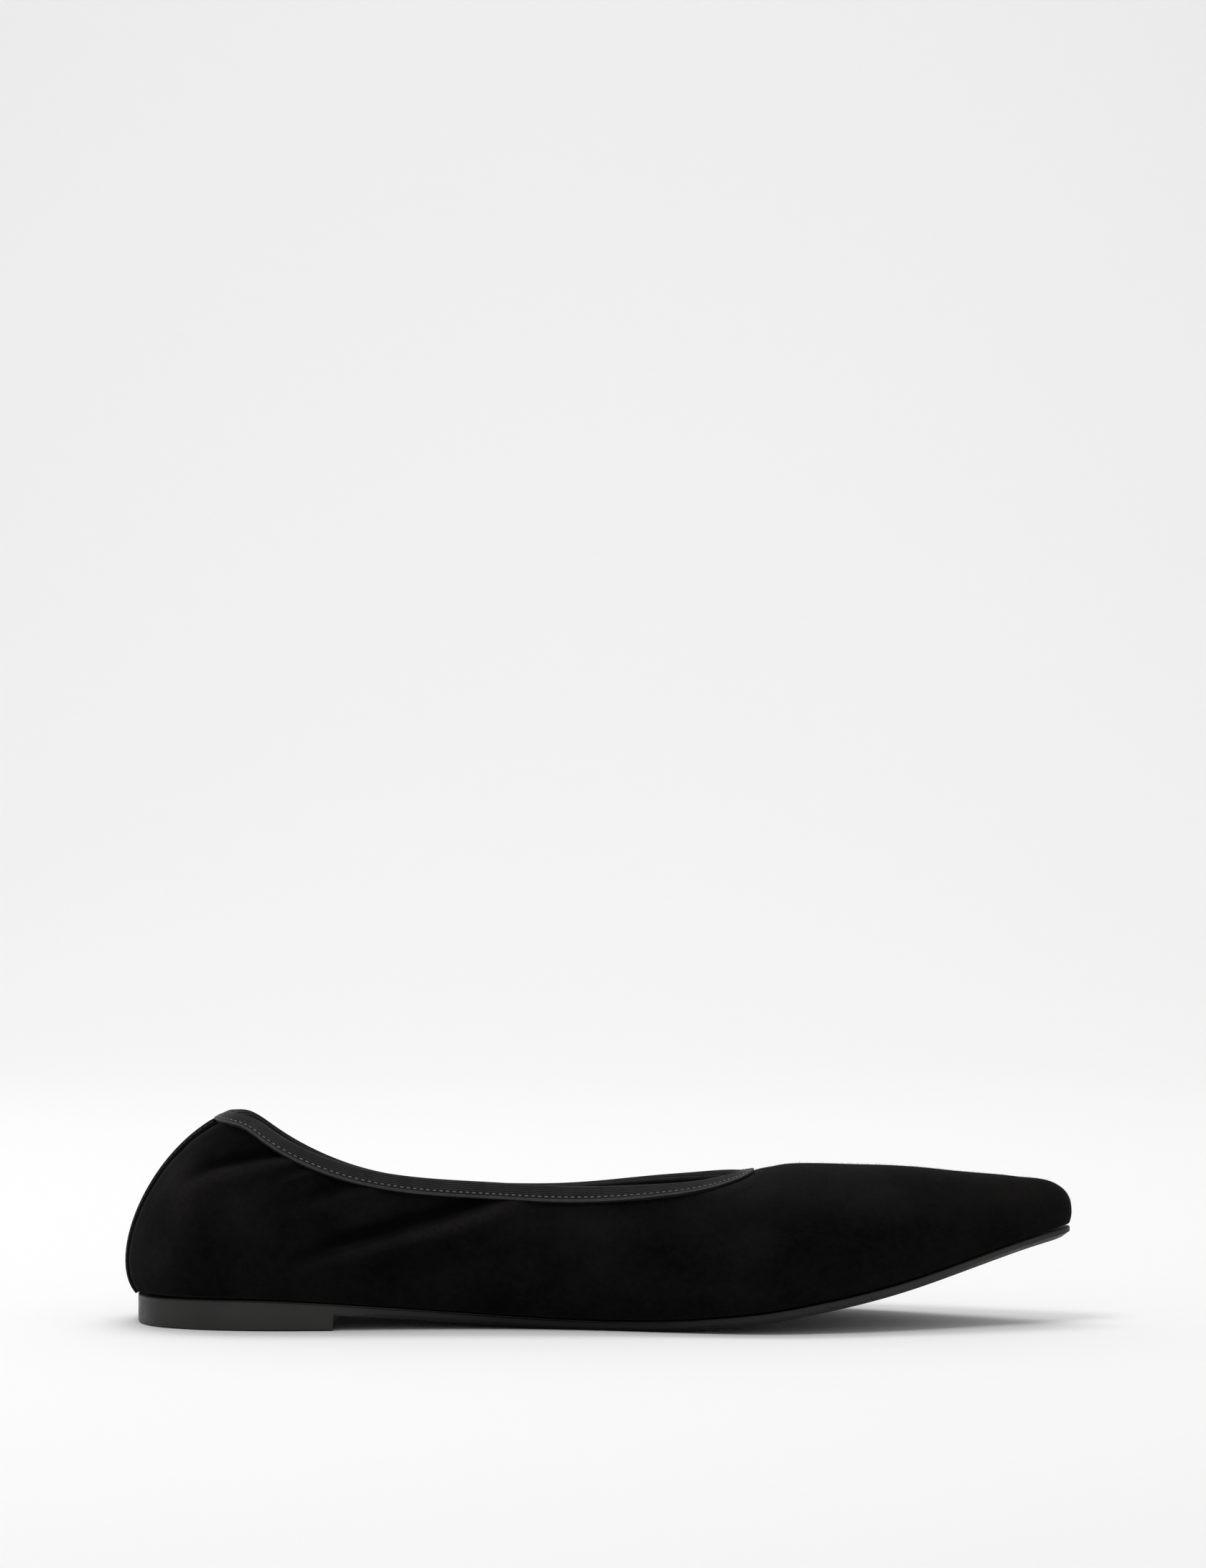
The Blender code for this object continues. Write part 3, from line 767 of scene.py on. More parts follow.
class Recipe(Tree):
    """A material's node tree while it is put together."""

    def __init__(self, name: str, roughness: float, specular: float, sheen: float = 0.0) -> None:
        """Starts a material with its plain constants.

        Args:
            name: The material's name.
            roughness: How matt it is, where nothing is linked.
            specular: Strength of its gloss.
            sheen: Strength of its soft rim of light.
        """
        self.material = bpy.data.materials.new(name)
        self.material.use_nodes = True
        super().__init__(self.material.node_tree)
        self.shader = self.tree.nodes["Principled BSDF"]
        self.shader.inputs["Roughness"].default_value = roughness
        self.shader.inputs["Specular IOR Level"].default_value = specular
        self.shader.inputs["Sheen Weight"].default_value = sheen
        self.shader.inputs["Sheen Roughness"].default_value = SHEEN_ROUGHNESS
        self.place = self.node("ShaderNodeTexCoord")

    def noise(self, scale: float, detail: float, rough: float,
              stretch: tuple | None = None) -> Socket:
        """Adds a noise pattern over the piece's own place.

        Args:
            scale: Patches to a metre.
            detail: Finer layers over it.
            rough: Strength of the finer layers.
            stretch: Scale of each axis, if not even.

        Returns:
            The pattern's value.
        """
        place = self.place.outputs["Object"]
        if stretch:
            place = self.node("ShaderNodeMapping", {"Vector": place, "Scale": stretch}).outputs[0]
        return self.node("ShaderNodeTexNoise", {
            "Vector": place, "Scale": scale, "Detail": detail, "Roughness": rough}).outputs[0]

    def wave(self, scale: float, distortion: float, direction: str, detail: float = 1.0,
             place: str = "Object") -> Socket:
        """Adds a pattern of even bands.

        Args:
            scale: How close the bands are.
            distortion: How far they waver.
            direction: The axis that they are square to.
            detail: Finer layers of the wavering.
            place: Which coordinates it reads.

        Returns:
            The pattern's value.
        """
        return self.node("ShaderNodeTexWave", {
            "Vector": self.place.outputs[place], "Scale": scale, "Distortion": distortion,
            "Detail": detail}, bands_direction=direction).outputs["Fac"]

    def split(self, vector: Socket) -> tuple[Socket, ...]:
        """The three parts of a vector."""
        return tuple(self.node("ShaderNodeSeparateXYZ", {0: vector}).outputs)

    def spread(self, value: Socket, low: float, high: float, to_low: float = 0.0,
               to_high: float = 1.0) -> Socket:
        """Maps a range of values to another, by default 0 to 1, held at its ends."""
        return self.node("ShaderNodeMapRange", {
            "Value": value, "From Min": low, "From Max": high, "To Min": to_low,
            "To Max": to_high}).outputs[0]

    def mix(self, share: Socket, under: Socket | tuple, over: tuple) -> Socket:
        """Lays a colour by a share over another colour, or over what a socket carries."""
        lower = under if isinstance(under, Socket) else (*under, 1.0)
        return self.node("ShaderNodeMix", {0: share, 6: lower, 7: (*over, 1.0)},
                         data_type="RGBA").outputs[2]

    def math(self, kind: str, first: Socket, second: Socket | float) -> Socket:
        """Combines two values, or a value and a number."""
        return self.node("ShaderNodeMath", {0: first, 1: second}, operation=kind).outputs[0]

    def bump(self, height: Socket, distance: float, strength: float,
             under: Socket | None = None) -> Socket:
        """Adds a relief.

        Args:
            height: The pattern that is raised.
            distance: Its full height.
            strength: Share of it that shows.
            under: Normal of an earlier relief that it lies on.

        Returns:
            Its normal.
        """
        inputs = {"Height": height, "Distance": distance, "Strength": strength}
        if under is not None:
            inputs["Normal"] = under
        return self.node("ShaderNodeBump", inputs).outputs[0]

    def finish(self, colour: Socket, normal: Socket,
               roughness: Socket | None = None) -> bpy.types.Material:
        """Links the last sockets to the shader.

        Args:
            colour: The colour.
            normal: The relief's normal.
            roughness: How matt each place is, if not even.

        Returns:
            The material.
        """
        ends = {"Base Color": colour, "Normal": normal, "Roughness": roughness}
        for key, socket in ends.items():
            if socket is not None:
                self.tree.links.new(socket, self.shader.inputs[key])
        return self.material


@dataclass(frozen=True)
class SuedeFinish:
    """Black suede: a matt nap with brushed patches, fine fibre grain and a soft sheen.

    Where its flat coordinates carry folds, ridges get painted highlight and troughs painted shade.
    """

    name: str = "black_suede"
    deep: tuple = (0.0016, 0.0015, 0.0014)
    brushed_and_highlit: tuple = (0.0060, 0.0055, 0.0053)
    # Colour of the fibre flecks, and of the painted highlight on fold ridges and lighter patches
    fleck_and_highlight: tuple = (0.0150, 0.0138, 0.0134)
    # Colour of the painted shade in the fold troughs
    shade: tuple = (0.0006, 0.0006, 0.0006)
    sheen: float = 0.035
    sheen_tint: tuple = (0.62, 0.60, 0.60)
    patch_scale: float = 48.0
    stroke_scale: float = 520.0
    clump_scale: float = 900.0
    grain_scale: float = 2600.0
    # Whether it takes painted highlight and painted shade from the folds in its flat coordinates
    folded: bool = False

    def make(self) -> bpy.types.Material:
        """Makes the material."""
        recipe = Recipe(self.name, 0.95, 0.03, self.sheen)
        recipe.shader.inputs["Sheen Tint"].default_value = (*self.sheen_tint, 1.0)
        patches = recipe.math("MULTIPLY", recipe.noise(self.patch_scale, 3, 0.5), 0.6)
        strokes = recipe.noise(self.stroke_scale, 3, 0.6, (0.8, 1.0, 1.0))
        grain = recipe.noise(self.grain_scale, 3, 0.7)
        clumps = recipe.noise(self.clump_scale, 2, 0.6)
        mottled = recipe.math("ADD", patches, recipe.math("MULTIPLY", strokes, 0.4))
        colour = recipe.mix(recipe.spread(mottled, 0.38, 0.64), self.deep, self.brushed_and_highlit)
        colour = recipe.mix(recipe.spread(grain, 0.60, 0.78, 0.0, 0.55), colour, self.fleck_and_highlight)
        if self.folded:
            # Painted highlight on the fold ridges and the lighter patches, painted shade in the
            # troughs
            fold, wear_and_highlight, _unused = recipe.split(recipe.place.outputs["UV"])
            lit = recipe.math("ADD", recipe.spread(fold, 0.1, 1.0, 0.0, 0.75), wear_and_highlight)
            lit = recipe.math("MULTIPLY", lit, recipe.spread(clumps, 0.3, 0.6, 0.55, 1.0))
            colour = recipe.mix(lit, colour, self.fleck_and_highlight)
            colour = recipe.mix(recipe.spread(fold, -0.9, -0.1, 0.85, 0.0), colour, self.shade)
        normal = recipe.bump(clumps, 0.0004, 0.35)
        normal = recipe.bump(grain, 0.00025, 0.75, normal)
        return recipe.finish(colour, normal, recipe.spread(strokes, 0.3, 0.7, 0.85, 1.0))


@dataclass(frozen=True)
class FibreFinish:
    """Loose fibres of the nap."""

    name: str = "suede_fibre"
    dark: tuple = (0.0012, 0.0012, 0.0012)
    light: tuple = (0.0070, 0.0066, 0.0064)

    def make(self) -> bpy.types.Material:
        """Makes the material."""
        recipe = Recipe(self.name, 0.9, 0.1)
        grain = recipe.noise(700, 2, 0.5)
        colour = recipe.mix(recipe.spread(grain, 0.35, 0.65), self.dark, self.light)
        return recipe.finish(colour, recipe.bump(grain, 0.0001, 0.2))


@dataclass(frozen=True)
class LiningFinish:
    """Dark close-woven lining inside the upper."""

    name: str = "woven_lining"
    dark: tuple = (0.010, 0.0098, 0.010)
    light: tuple = (0.021, 0.0205, 0.021)
    raised: tuple = (0.034, 0.033, 0.034)
    weave_scale: float = 560.0

    def make(self) -> bpy.types.Material:
        """Makes the material."""
        recipe = Recipe(self.name, 0.8, 0.25)
        warp, weft = (recipe.wave(self.weave_scale, 0.6, axis) for axis in "ZX")
        threads = recipe.math("MULTIPLY", warp, weft)
        wear = recipe.spread(recipe.noise(80, 3, 0.5), 0.35, 0.7)
        colour = recipe.mix(wear, self.dark, self.light)
        colour = recipe.mix(recipe.math("MULTIPLY", threads, 0.35), colour, self.raised)
        return recipe.finish(colour, recipe.bump(threads, 0.00015, 0.5))


@dataclass(frozen=True)
class TapeFinish:
    """Woven elastic with fine weft lines, which follow its flat coordinates or its place."""

    name: str = "woven_elastic"
    place: str = "UV"
    deep: tuple = (0.0050, 0.0049, 0.0052)
    lit: tuple = (0.0110, 0.0108, 0.0115)
    weft: tuple = (0.026, 0.0252, 0.0275)
    sheen: float = 0.03
    specular: float = 0.12
    weft_scale: float = 1050.0

    def make(self) -> bpy.types.Material:
        """Makes the material."""
        recipe = Recipe(self.name, 0.62, self.specular, self.sheen)
        weft = recipe.wave(self.weft_scale, 0.4, "X", place=self.place)
        wear = recipe.noise(260, 3, 0.6)
        fuzz = recipe.noise(3200, 2, 0.6)
        colour = recipe.mix(recipe.spread(wear, 0.3, 0.7), self.deep, self.lit)
        colour = recipe.mix(recipe.math("MULTIPLY", weft, 0.3), colour, self.weft)
        normal = recipe.bump(weft, 0.0001, 0.4)
        normal = recipe.bump(fuzz, 0.0001, 0.35, normal)
        return recipe.finish(colour, normal, recipe.spread(fuzz, 0.3, 0.7, 0.55, 0.8))


@dataclass(frozen=True)
class ThreadFinish:
    """Twisted sewing thread, dark where its strands lie close."""

    name: str
    colour: tuple
    dark_share: float = 0.45

    def make(self) -> bpy.types.Material:
        """Makes the material."""
        recipe = Recipe(self.name, 0.5, 0.5)
        twist = recipe.wave(900.0, 1.0, "DIAGONAL", 2.0)
        dark = tuple(value * self.dark_share for value in self.colour)
        colour = recipe.mix(twist, dark, self.colour)
        return recipe.finish(colour, recipe.bump(twist, 0.0001, 0.5))


@dataclass(frozen=True)
class RubberFinish:
    """Satin moulded rubber with a fine grain, faint scuffs and a ribbed tread under it.

    Its edge is dark along the waist with painted shade, from past the heel to before the toe.
    """

    name: str = "satin_rubber"
    base: tuple = (0.0250, 0.0246, 0.0240)
    wear_and_highlight: tuple = (0.0350, 0.0338, 0.0325)
    scuffed: tuple = (0.042, 0.040, 0.038)
    # Colour of the painted shade along the waist, and where it fades in past the heel and out
    # before the toe
    waist: tuple = (0.0035, 0.0032, 0.0030)
    heel_fade: tuple = (0.028, 0.075)
    toe_fade: tuple = (0.120, 0.185)
    facing_down: tuple = (-0.995, -0.985)
    tread_scale: float = 130.0

    def make(self) -> bpy.types.Material:
        """Makes the material."""
        recipe = Recipe(self.name, 0.42, 0.18)
        patches = recipe.noise(45, 4, 0.6)
        grain = recipe.noise(1900, 3, 0.6)
        scuffs = recipe.noise(160, 4, 0.75, (0.25, 1.0, 1.6))
        colour = recipe.mix(recipe.spread(patches, 0.3, 0.7), self.base, self.wear_and_highlight)
        colour = recipe.mix(recipe.spread(scuffs, 0.62, 0.75, 0.0, 0.4), colour, self.scuffed)
        # Painted shade along the waist, between the heel and the toe
        along = recipe.split(recipe.place.outputs["Object"])[0]
        past_heel = recipe.spread(along, *self.heel_fade)
        before_toe = recipe.spread(along, *self.toe_fade, 1.0, 0.0)
        colour = recipe.mix(recipe.math("MULTIPLY", past_heel, before_toe), colour, self.waist)
        shape = recipe.node("ShaderNodeNewGeometry")
        facing = recipe.split(shape.outputs["True Normal"])[2]
        below = recipe.spread(facing, *self.facing_down, 1.0, 0.0)
        ribs = recipe.spread(recipe.wave(self.tread_scale, 0.0, "X"), 0.25, 0.6)
        normal = recipe.bump(recipe.math("MULTIPLY", ribs, below), 0.0005, 0.8)
        normal = recipe.bump(grain, 0.00004, 0.15, normal)
        return recipe.finish(colour, normal, recipe.spread(scuffs, 0.35, 0.75, 0.36, 0.6))


@dataclass(frozen=True)
class SockFinish:
    """Smooth black sock leather with a pebbled grain and a faint footprint of wear."""

    name: str = "sock_leather"
    dark: tuple = (0.012, 0.0118, 0.012)
    light: tuple = (0.026, 0.0252, 0.025)

    def make(self) -> bpy.types.Material:
        """Makes the material."""
        recipe = Recipe(self.name, 0.55, 0.4)
        pebble = recipe.node("ShaderNodeTexVoronoi", {
            "Vector": recipe.place.outputs["Object"], "Scale": 1100.0}, feature="SMOOTH_F1")
        wear = recipe.noise(38, 4, 0.55)
        colour = recipe.mix(recipe.spread(wear, 0.35, 0.68), self.dark, self.light)
        normal = recipe.bump(pebble.outputs["Distance"], 0.0003, 0.45)
        normal = recipe.bump(recipe.noise(2400, 2, 0.5), 0.0001, 0.25, normal)
        return recipe.finish(colour, normal, recipe.spread(wear, 0.3, 0.7, 0.62, 0.46))


@dataclass(frozen=True)
class PaperFinish:
    """Pale studio paper for the floor and its sweep."""

    name: str = "studio_paper"
    dark: tuple = (0.835, 0.835, 0.835)
    light: tuple = (0.845, 0.845, 0.845)

    def make(self) -> bpy.types.Material:
        """Makes the material."""
        recipe = Recipe(self.name, 0.9, 0.1)
        colour = recipe.mix(recipe.noise(1.3, 2, 0.5), self.dark, self.light)
        return recipe.finish(colour, recipe.bump(recipe.noise(900, 2, 0.5), 0.0001, 0.1))


@dataclass(frozen=True)
class Crease:
    """One fold of the suede in the side view: a soft trough over a ridge, along a path.

    The path's points are x and z on the shoe. The fold is full at one share of the path, and
    from another it fades out towards the path's end.
    """

    path: tuple
    side: Side
    spread: float
    ridge: float
    trough: float
    full_at: float = 0.15
    fade_from: float = 0.55
    start_at: float = -0.02
    ridge_pinch: float = 1.5
    trough_pinch: float = 1.35

    def height(self, x: Array, z: Array) -> Array:
        """How far the fold moves the suede out of its plain surface.

        Args:
            x: Points of the side view, along the shoe.
            z: Their height over the floor.

        Returns:
            The height at each point.
        """
        points = np.array(self.path)
        lengths = np.linalg.norm(np.diff(points, axis=0), axis=1)
        total = lengths.sum()
        nearest = np.full(x.shape, np.inf)
        signed = np.zeros(x.shape)
        share = np.zeros(x.shape)
        done = 0.0
        for start, end, length in zip(points[:-1], points[1:], lengths):
            run = (end - start) / length
            reach = np.clip((x - start[0]) * run[0] + (z - start[1]) * run[1], 0, length)
            off_x = x - start[0] - reach * run[0]
            off_z = z - start[1] - reach * run[1]
            away = np.hypot(off_x, off_z)
            closer = away < nearest
            above = np.where(run[0] * off_z - run[1] * off_x > 0, 1.0, -1.0)
            above = -above if run[0] < 0 else above
            nearest = np.where(closer, away, nearest)
            signed = np.where(closer, above * away, signed)
            share = np.where(closer, (done + reach) / total, share)
            done += length
        half = self.spread / 2
        strength = smooth_step(self.start_at, self.full_at, share)
        strength = strength * (1 - smooth_step(self.fade_from, 1.0, share))
        ridge = self.ridge * bell(signed, -half, self.spread / self.ridge_pinch)
        trough = self.trough * bell(signed, half, self.spread / self.trough_pinch)
        return strength * (ridge - trough)


@dataclass(frozen=True)
class Swell:
    """A broad soft rise or hollow of the suede in the side view."""

    x: float
    z: float
    reach_x: float
    reach_z: float
    rise: float
    side: Side

    def height(self, x: Array, z: Array) -> Array:
        """How far it moves the suede at points of the side view."""
        return self.rise * bell(x, self.x, self.reach_x) * bell(z, self.z, self.reach_z)


CREASES = (
    Crease(((0.0225, 0.0490), (0.0118, 0.0468), (0.0032, 0.0451), (-0.0044, 0.0434),
            (-0.0112, 0.0392), (-0.0160, 0.0335)), Side.MEDIAL,
           0.0028, 0.0011, 0.0013, 0.05, 0.5),
    Crease(((0.0300, 0.0462), (0.0215, 0.0440), (0.0150, 0.0420), (0.0085, 0.0395)), Side.MEDIAL,
           0.0018, 0.0005, 0.0007, 0.08, 0.45),
    Crease(((0.0445, 0.0418), (0.0305, 0.0382), (0.0217, 0.0350), (0.0120, 0.0305)), Side.MEDIAL,
           0.0030, 0.0005, 0.0007, 0.12, 0.5),
    Crease(((0.0850, 0.0402), (0.0686, 0.0334), (0.0560, 0.0296), (0.0430, 0.0261),
            (0.0305, 0.0226), (0.0211, 0.0195), (0.0100, 0.0155)), Side.MEDIAL,
           0.0038, 0.0012, 0.0015, 0.12, 0.6),
    Crease(((0.0240, 0.0440), (0.0130, 0.0425), (0.0030, 0.0405), (-0.0060, 0.0370),
            (-0.0120, 0.0320)), Side.LATERAL, 0.0030, 0.0009, 0.0011, 0.06, 0.5),
    Crease(((0.0800, 0.0352), (0.0640, 0.0300), (0.0500, 0.0268), (0.0360, 0.0228),
            (0.0220, 0.0180)), Side.LATERAL, 0.0038, 0.0009, 0.0012, 0.15, 0.6),
)
SWELLS = (
    Swell(-0.0190, 0.0200, 0.0060, 0.0050, 0.0003, Side.MEDIAL),
    Swell(0.0050, 0.0300, 0.0130, 0.0080, 0.0004, Side.MEDIAL),
    Swell(0.0500, 0.0190, 0.0200, 0.0060, -0.0004, Side.MEDIAL),
    Swell(0.0450, 0.0340, 0.0150, 0.0050, 0.0003, Side.MEDIAL),
    Swell(0.1020, 0.0270, 0.0160, 0.0090, 0.0003, Side.MEDIAL),
    Swell(0.1300, 0.0180, 0.0150, 0.0070, -0.0002, Side.MEDIAL),
    Swell(0.0050, 0.0280, 0.0140, 0.0080, 0.0004, Side.LATERAL),
    Swell(0.0520, 0.0180, 0.0200, 0.0060, -0.0004, Side.LATERAL),
    Swell(0.1050, 0.0240, 0.0180, 0.0080, 0.0003, Side.LATERAL),
)

# Patches of painted highlight on the suede, with the share in place of the height
PAINTED_HIGHLIGHTS = (
    Swell(-0.0130, 0.0360, 0.0050, 0.0110, 0.60, Side.MEDIAL),
    Swell(-0.0190, 0.0210, 0.0045, 0.0080, 0.45, Side.MEDIAL),
    Swell(-0.0020, 0.0405, 0.0110, 0.0035, 0.22, Side.MEDIAL),
    Swell(0.0160, 0.0345, 0.0160, 0.0045, 0.14, Side.MEDIAL),
    Swell(0.0640, 0.0300, 0.0200, 0.0050, 0.16, Side.MEDIAL),
    Swell(0.0980, 0.0300, 0.0180, 0.0060, 0.22, Side.MEDIAL),
    Swell(0.1500, 0.0380, 0.0220, 0.0045, 0.30, Side.MEDIAL),
    Swell(0.1850, 0.0350, 0.0220, 0.0040, 0.24, Side.MEDIAL),
    Swell(0.2180, 0.0360, 0.0100, 0.0040, 0.34, Side.MEDIAL),
    Swell(0.2270, 0.0310, 0.0090, 0.0080, 0.30, Side.MEDIAL),
    Swell(0.1300, 0.0130, 0.0300, 0.0030, 0.08, Side.MEDIAL),
    Swell(-0.0130, 0.0350, 0.0050, 0.0110, 0.36, Side.LATERAL),
    Swell(0.0900, 0.0280, 0.0300, 0.0060, 0.20, Side.LATERAL),
    Swell(0.1550, 0.0380, 0.0300, 0.0045, 0.30, Side.LATERAL),
    Swell(0.2160, 0.0360, 0.0120, 0.0040, 0.34, Side.LATERAL),
)


@dataclass
class Upper:
    """The suede upper: a fine wall over the last with its creases, lining and loose fibres."""

    last: Last
    wall: float = WALL
    tape_width: float = TAPE_WIDTH
    rows: int = 52
    row_crowding: float = 0.085
    strip_half: float = 0.0065
    tuck: float = 0.0006
    tuck_reach: float = 0.035
    uneven: float = 0.00009
    uneven_along: tuple = (310.0, 2.1, 260.0)
    uneven_up: tuple = (410.0, 1.7, 170.0)
    calm_collar: float = 0.7
    calm_from: float = 0.93
    seam_fade: tuple = (3.6, 4.6)
    groove: float = 0.0007
    groove_away: float = 0.0006
    groove_width: float = 0.0010
    seam_roll: float = 0.0006
    seam_roll_away: float = 0.0042
    seam_roll_width: float = 0.0024
    throat_roll: float = 0.0005
    throat_reach: float = 0.006
    full_fold: float = 0.0012
    fibres: int = 26000
    fibre_length: float = 0.0006
    fibre_radius: float = 0.000028

    def stations(self) -> Array:
        """Columns along the shoe, close at the back seam and where the collar turns."""
        return np.concatenate((
            np.linspace(0, 4, 81), np.linspace(4, THROAT - 1, 71)[1:], turning_stations()[1:],
            np.linspace(THROAT, TIP, 100)[1:]))

    def relief(self, side: Side, station: Array, share: Array, point: Array) -> Array:
        """Height of the creases and soft unevenness over the plain last.

        Args:
            side: Which side of the shoe.
            station: Station of each point.
            share: 0 at the feather edge, 1 at the collar or ridge.
            point: The plain points.

        Returns:
            The height along the outward normal.
        """
        x, y, z = point[..., 0], point[..., 1], point[..., 2]
        height = np.zeros(x.shape)
        for form in CREASES + SWELLS:
            if form.side is side:
                height += form.height(x, z)
        scale, bend, bend_scale = self.uneven_along
        slow = np.sin(x * scale + bend * np.sin(z * bend_scale))
        scale, bend, bend_scale = self.uneven_up
        slow = slow * np.sin(z * scale + bend * np.sin(x * bend_scale) + side.value)
        inside = smooth_step(0.0, 0.2, share) * (1 - smooth_step(0.8, 1.0, share))
        height += self.uneven * slow * inside
        height += self.swell_at_throat(side, point)
        beside = np.abs(y) - self.strip_half
        groove = self.groove * bell(beside, self.groove_away, self.groove_width)
        roll = self.seam_roll * bell(beside, self.seam_roll_away, self.seam_roll_width)
        height += (1 - smooth_step(*self.seam_fade, station)) * (roll - groove)
        near_collar = smooth_step(self.calm_from, 1.0, share) * (station < THROAT)
        height *= 1 - self.calm_collar * near_collar
        return height - self.tuck * (1 - smooth_step(0.0, self.tuck_reach, share))

    def swell_at_throat(self, side: Side, point: Array) -> Array:
        """How far the suede swells up to the tape's face in front of the throat.

        Args:
            side: Which side of the shoe.
            point: The plain points.

        Returns:
            The height at each point.
        """
        station = np.concatenate((np.linspace(9, THROAT - 1, 40), turning_stations()))
        edge = self.last.surface(side.value, station, self.last.collar_up(side.value, station))
        nearest = np.full(point.shape[:-1], np.inf)
        for spot in edge:
            nearest = np.minimum(nearest, np.linalg.norm(point - spot, axis=-1))
        beyond = nearest - self.tape_width
        fading = throat_share(point[..., 0]) * (1 - smooth_step(0.0, self.throat_reach, beyond))
        return fading * (THROAT_LIFT + self.throat_roll * smooth_step(-0.0004, 0.0007, beyond))

    def sheet(self, side: Side, tip: Array | None = None) -> Grid:
        """One side's outer face.

        Its flat coordinates are the height of the folds and the share of painted highlight.

        Args:
            side: Which side of the shoe.
            tip: The other side's last column, which this one joins.

        Returns:
            The face as a grid.
        """
        station = self.stations()
        share = np.linspace(0, 1, self.rows)
        share = share - self.row_crowding * np.sin(2 * np.pi * share)
        up = self.last.collar_up(side.value, station)[:, None] * share
        station = np.broadcast_to(station[:, None], up.shape)
        sign = np.full(up.shape, side.value)
        plain = self.last.surface(sign, station, up)
        height = self.relief(side, station, np.broadcast_to(share, up.shape), plain)
        points = self.last.raised(sign, station, up, height)
        ahead = station[:, -1] >= THROAT
        points[:, -1, 1] = np.where(ahead, plain[:, -1, 1], points[:, -1, 1])
        if tip is not None:
            points[-1] = tip
        points[0, :, 1] = 0.0
        x, z = plain[..., 0], plain[..., 2]
        # Share of painted highlight on the suede at each point
        brushed_and_highlit = sum(form.height(x, z) for form in PAINTED_HIGHLIGHTS if form.side is side)
        flat = np.stack((height / self.full_fold, brushed_and_highlit), axis=-1)
        return Grid(points, quads(*up.shape, flip=side is Side.LATERAL), flat)

    def build(self) -> list[bpy.types.Object]:
        """Builds the wall and its fibres.

        Returns:
            The wall and the fibres.
        """
        medial = self.sheet(Side.MEDIAL)
        lateral = self.sheet(Side.LATERAL, medial.points[-1])
        wall = make_piece("suede_upper", [medial, lateral])
        density = self.fibres / sum(face.area for face in wall.data.polygons)
        nap = nap_pattern("nap", density, self.fibre_length, self.fibre_radius,
                          FibreFinish().make())
        fibres = nap.bake(add_object("nap_ground", wall.data.copy()), "nap_fibres")
        thick = wall.modifiers.new("wall", "SOLIDIFY")
        thick.thickness = self.wall
        thick.offset = -1
        thick.material_offset = 1
        thick.material_offset_rim = 0
        wall.data.materials.append(SuedeFinish(folded=True).make())
        wall.data.materials.append(LiningFinish().make())
        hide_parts("upper")
        return [wall, fibres]


@dataclass
class BackStrip:
    """The suede strip over the back seam, with rounded edges and a row of stitches down each."""

    last: Last
    clearance: float = CLEARANCE
    tape_width: float = TAPE_WIDTH
    width: float = 0.013
    thickness: float = 0.0008
    start: float = 0.012
    sunk: float = 0.0002
    edge_power: int = 7
    rows: int = 70
    columns: int = 27
    stitch_column: int = 4
    stitch_pitch: float = 0.0018
    stitch_length: float = 0.0013
    thread_radius: float = 0.00012

    def two_faces(self) -> tuple[Array, Array]:
        """Points of the strip's faces, row by row up the back.

        Returns:
            Its outer face, and its inner one, which is sunk in the upper.
        """
        last = self.last
        down = np.array((0.0, 0.0, -1.0))
        _station, top = last.walk(np.array(1), np.array(0.0), last.collar_up(1, 0.0), down,
                                  self.tape_width + 3 * self.clearance)
        probe = np.linspace(0, 4, 401)
        across = np.sin(np.linspace(-1, 1, self.columns) * np.pi / 2)
        side = np.where(across < 0, -1, 1)
        rise = np.sqrt(np.clip(1 - np.abs(across) ** self.edge_power, 0, 1))
        height = (self.clearance + self.thickness + self.sunk) * rise - self.sunk
        outer, inner = [], []
        for up in np.linspace(self.start, float(top), self.rows):
            half = np.abs(last.surface(1, probe, up)[:, 1])
            edge = np.interp(self.width / 2 * np.abs(across), half, probe)
            outer.append(last.raised(side, edge, up, height))
            inner.append(last.raised(side, edge, up, np.full(edge.shape, -self.sunk)))
        return np.stack(outer), np.stack(inner)

    def build(self) -> list[bpy.types.Object]:
        """Builds the strip and its stitches.

        Returns:
            The strip and its two rows of stitches.
        """
        outer, inner = self.two_faces()
        ring = np.concatenate((outer, inner[:, -2:0:-1]), axis=1)
        strip = make_piece("suede_strip", [Grid(ring, quads(*ring.shape[:2], closed=True))], 1e-6)
        face_outwards(strip)
        strip.data.materials.append(SuedeFinish("strip_suede").make())
        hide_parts("back_strip")
        sewing = stitch_pattern("strip_sewing", self.stitch_pitch, self.stitch_length,
                                self.thread_radius,
                                ThreadFinish("strip_thread", (0.006, 0.0058, 0.006)).make())
        rows = [outer[2:-1, column] for column in (self.stitch_column, -1 - self.stitch_column)]
        stitches = sewing.bake(make_paths("strip_rows", rows, False), "strip_stitches")
        return [strip, stitches]


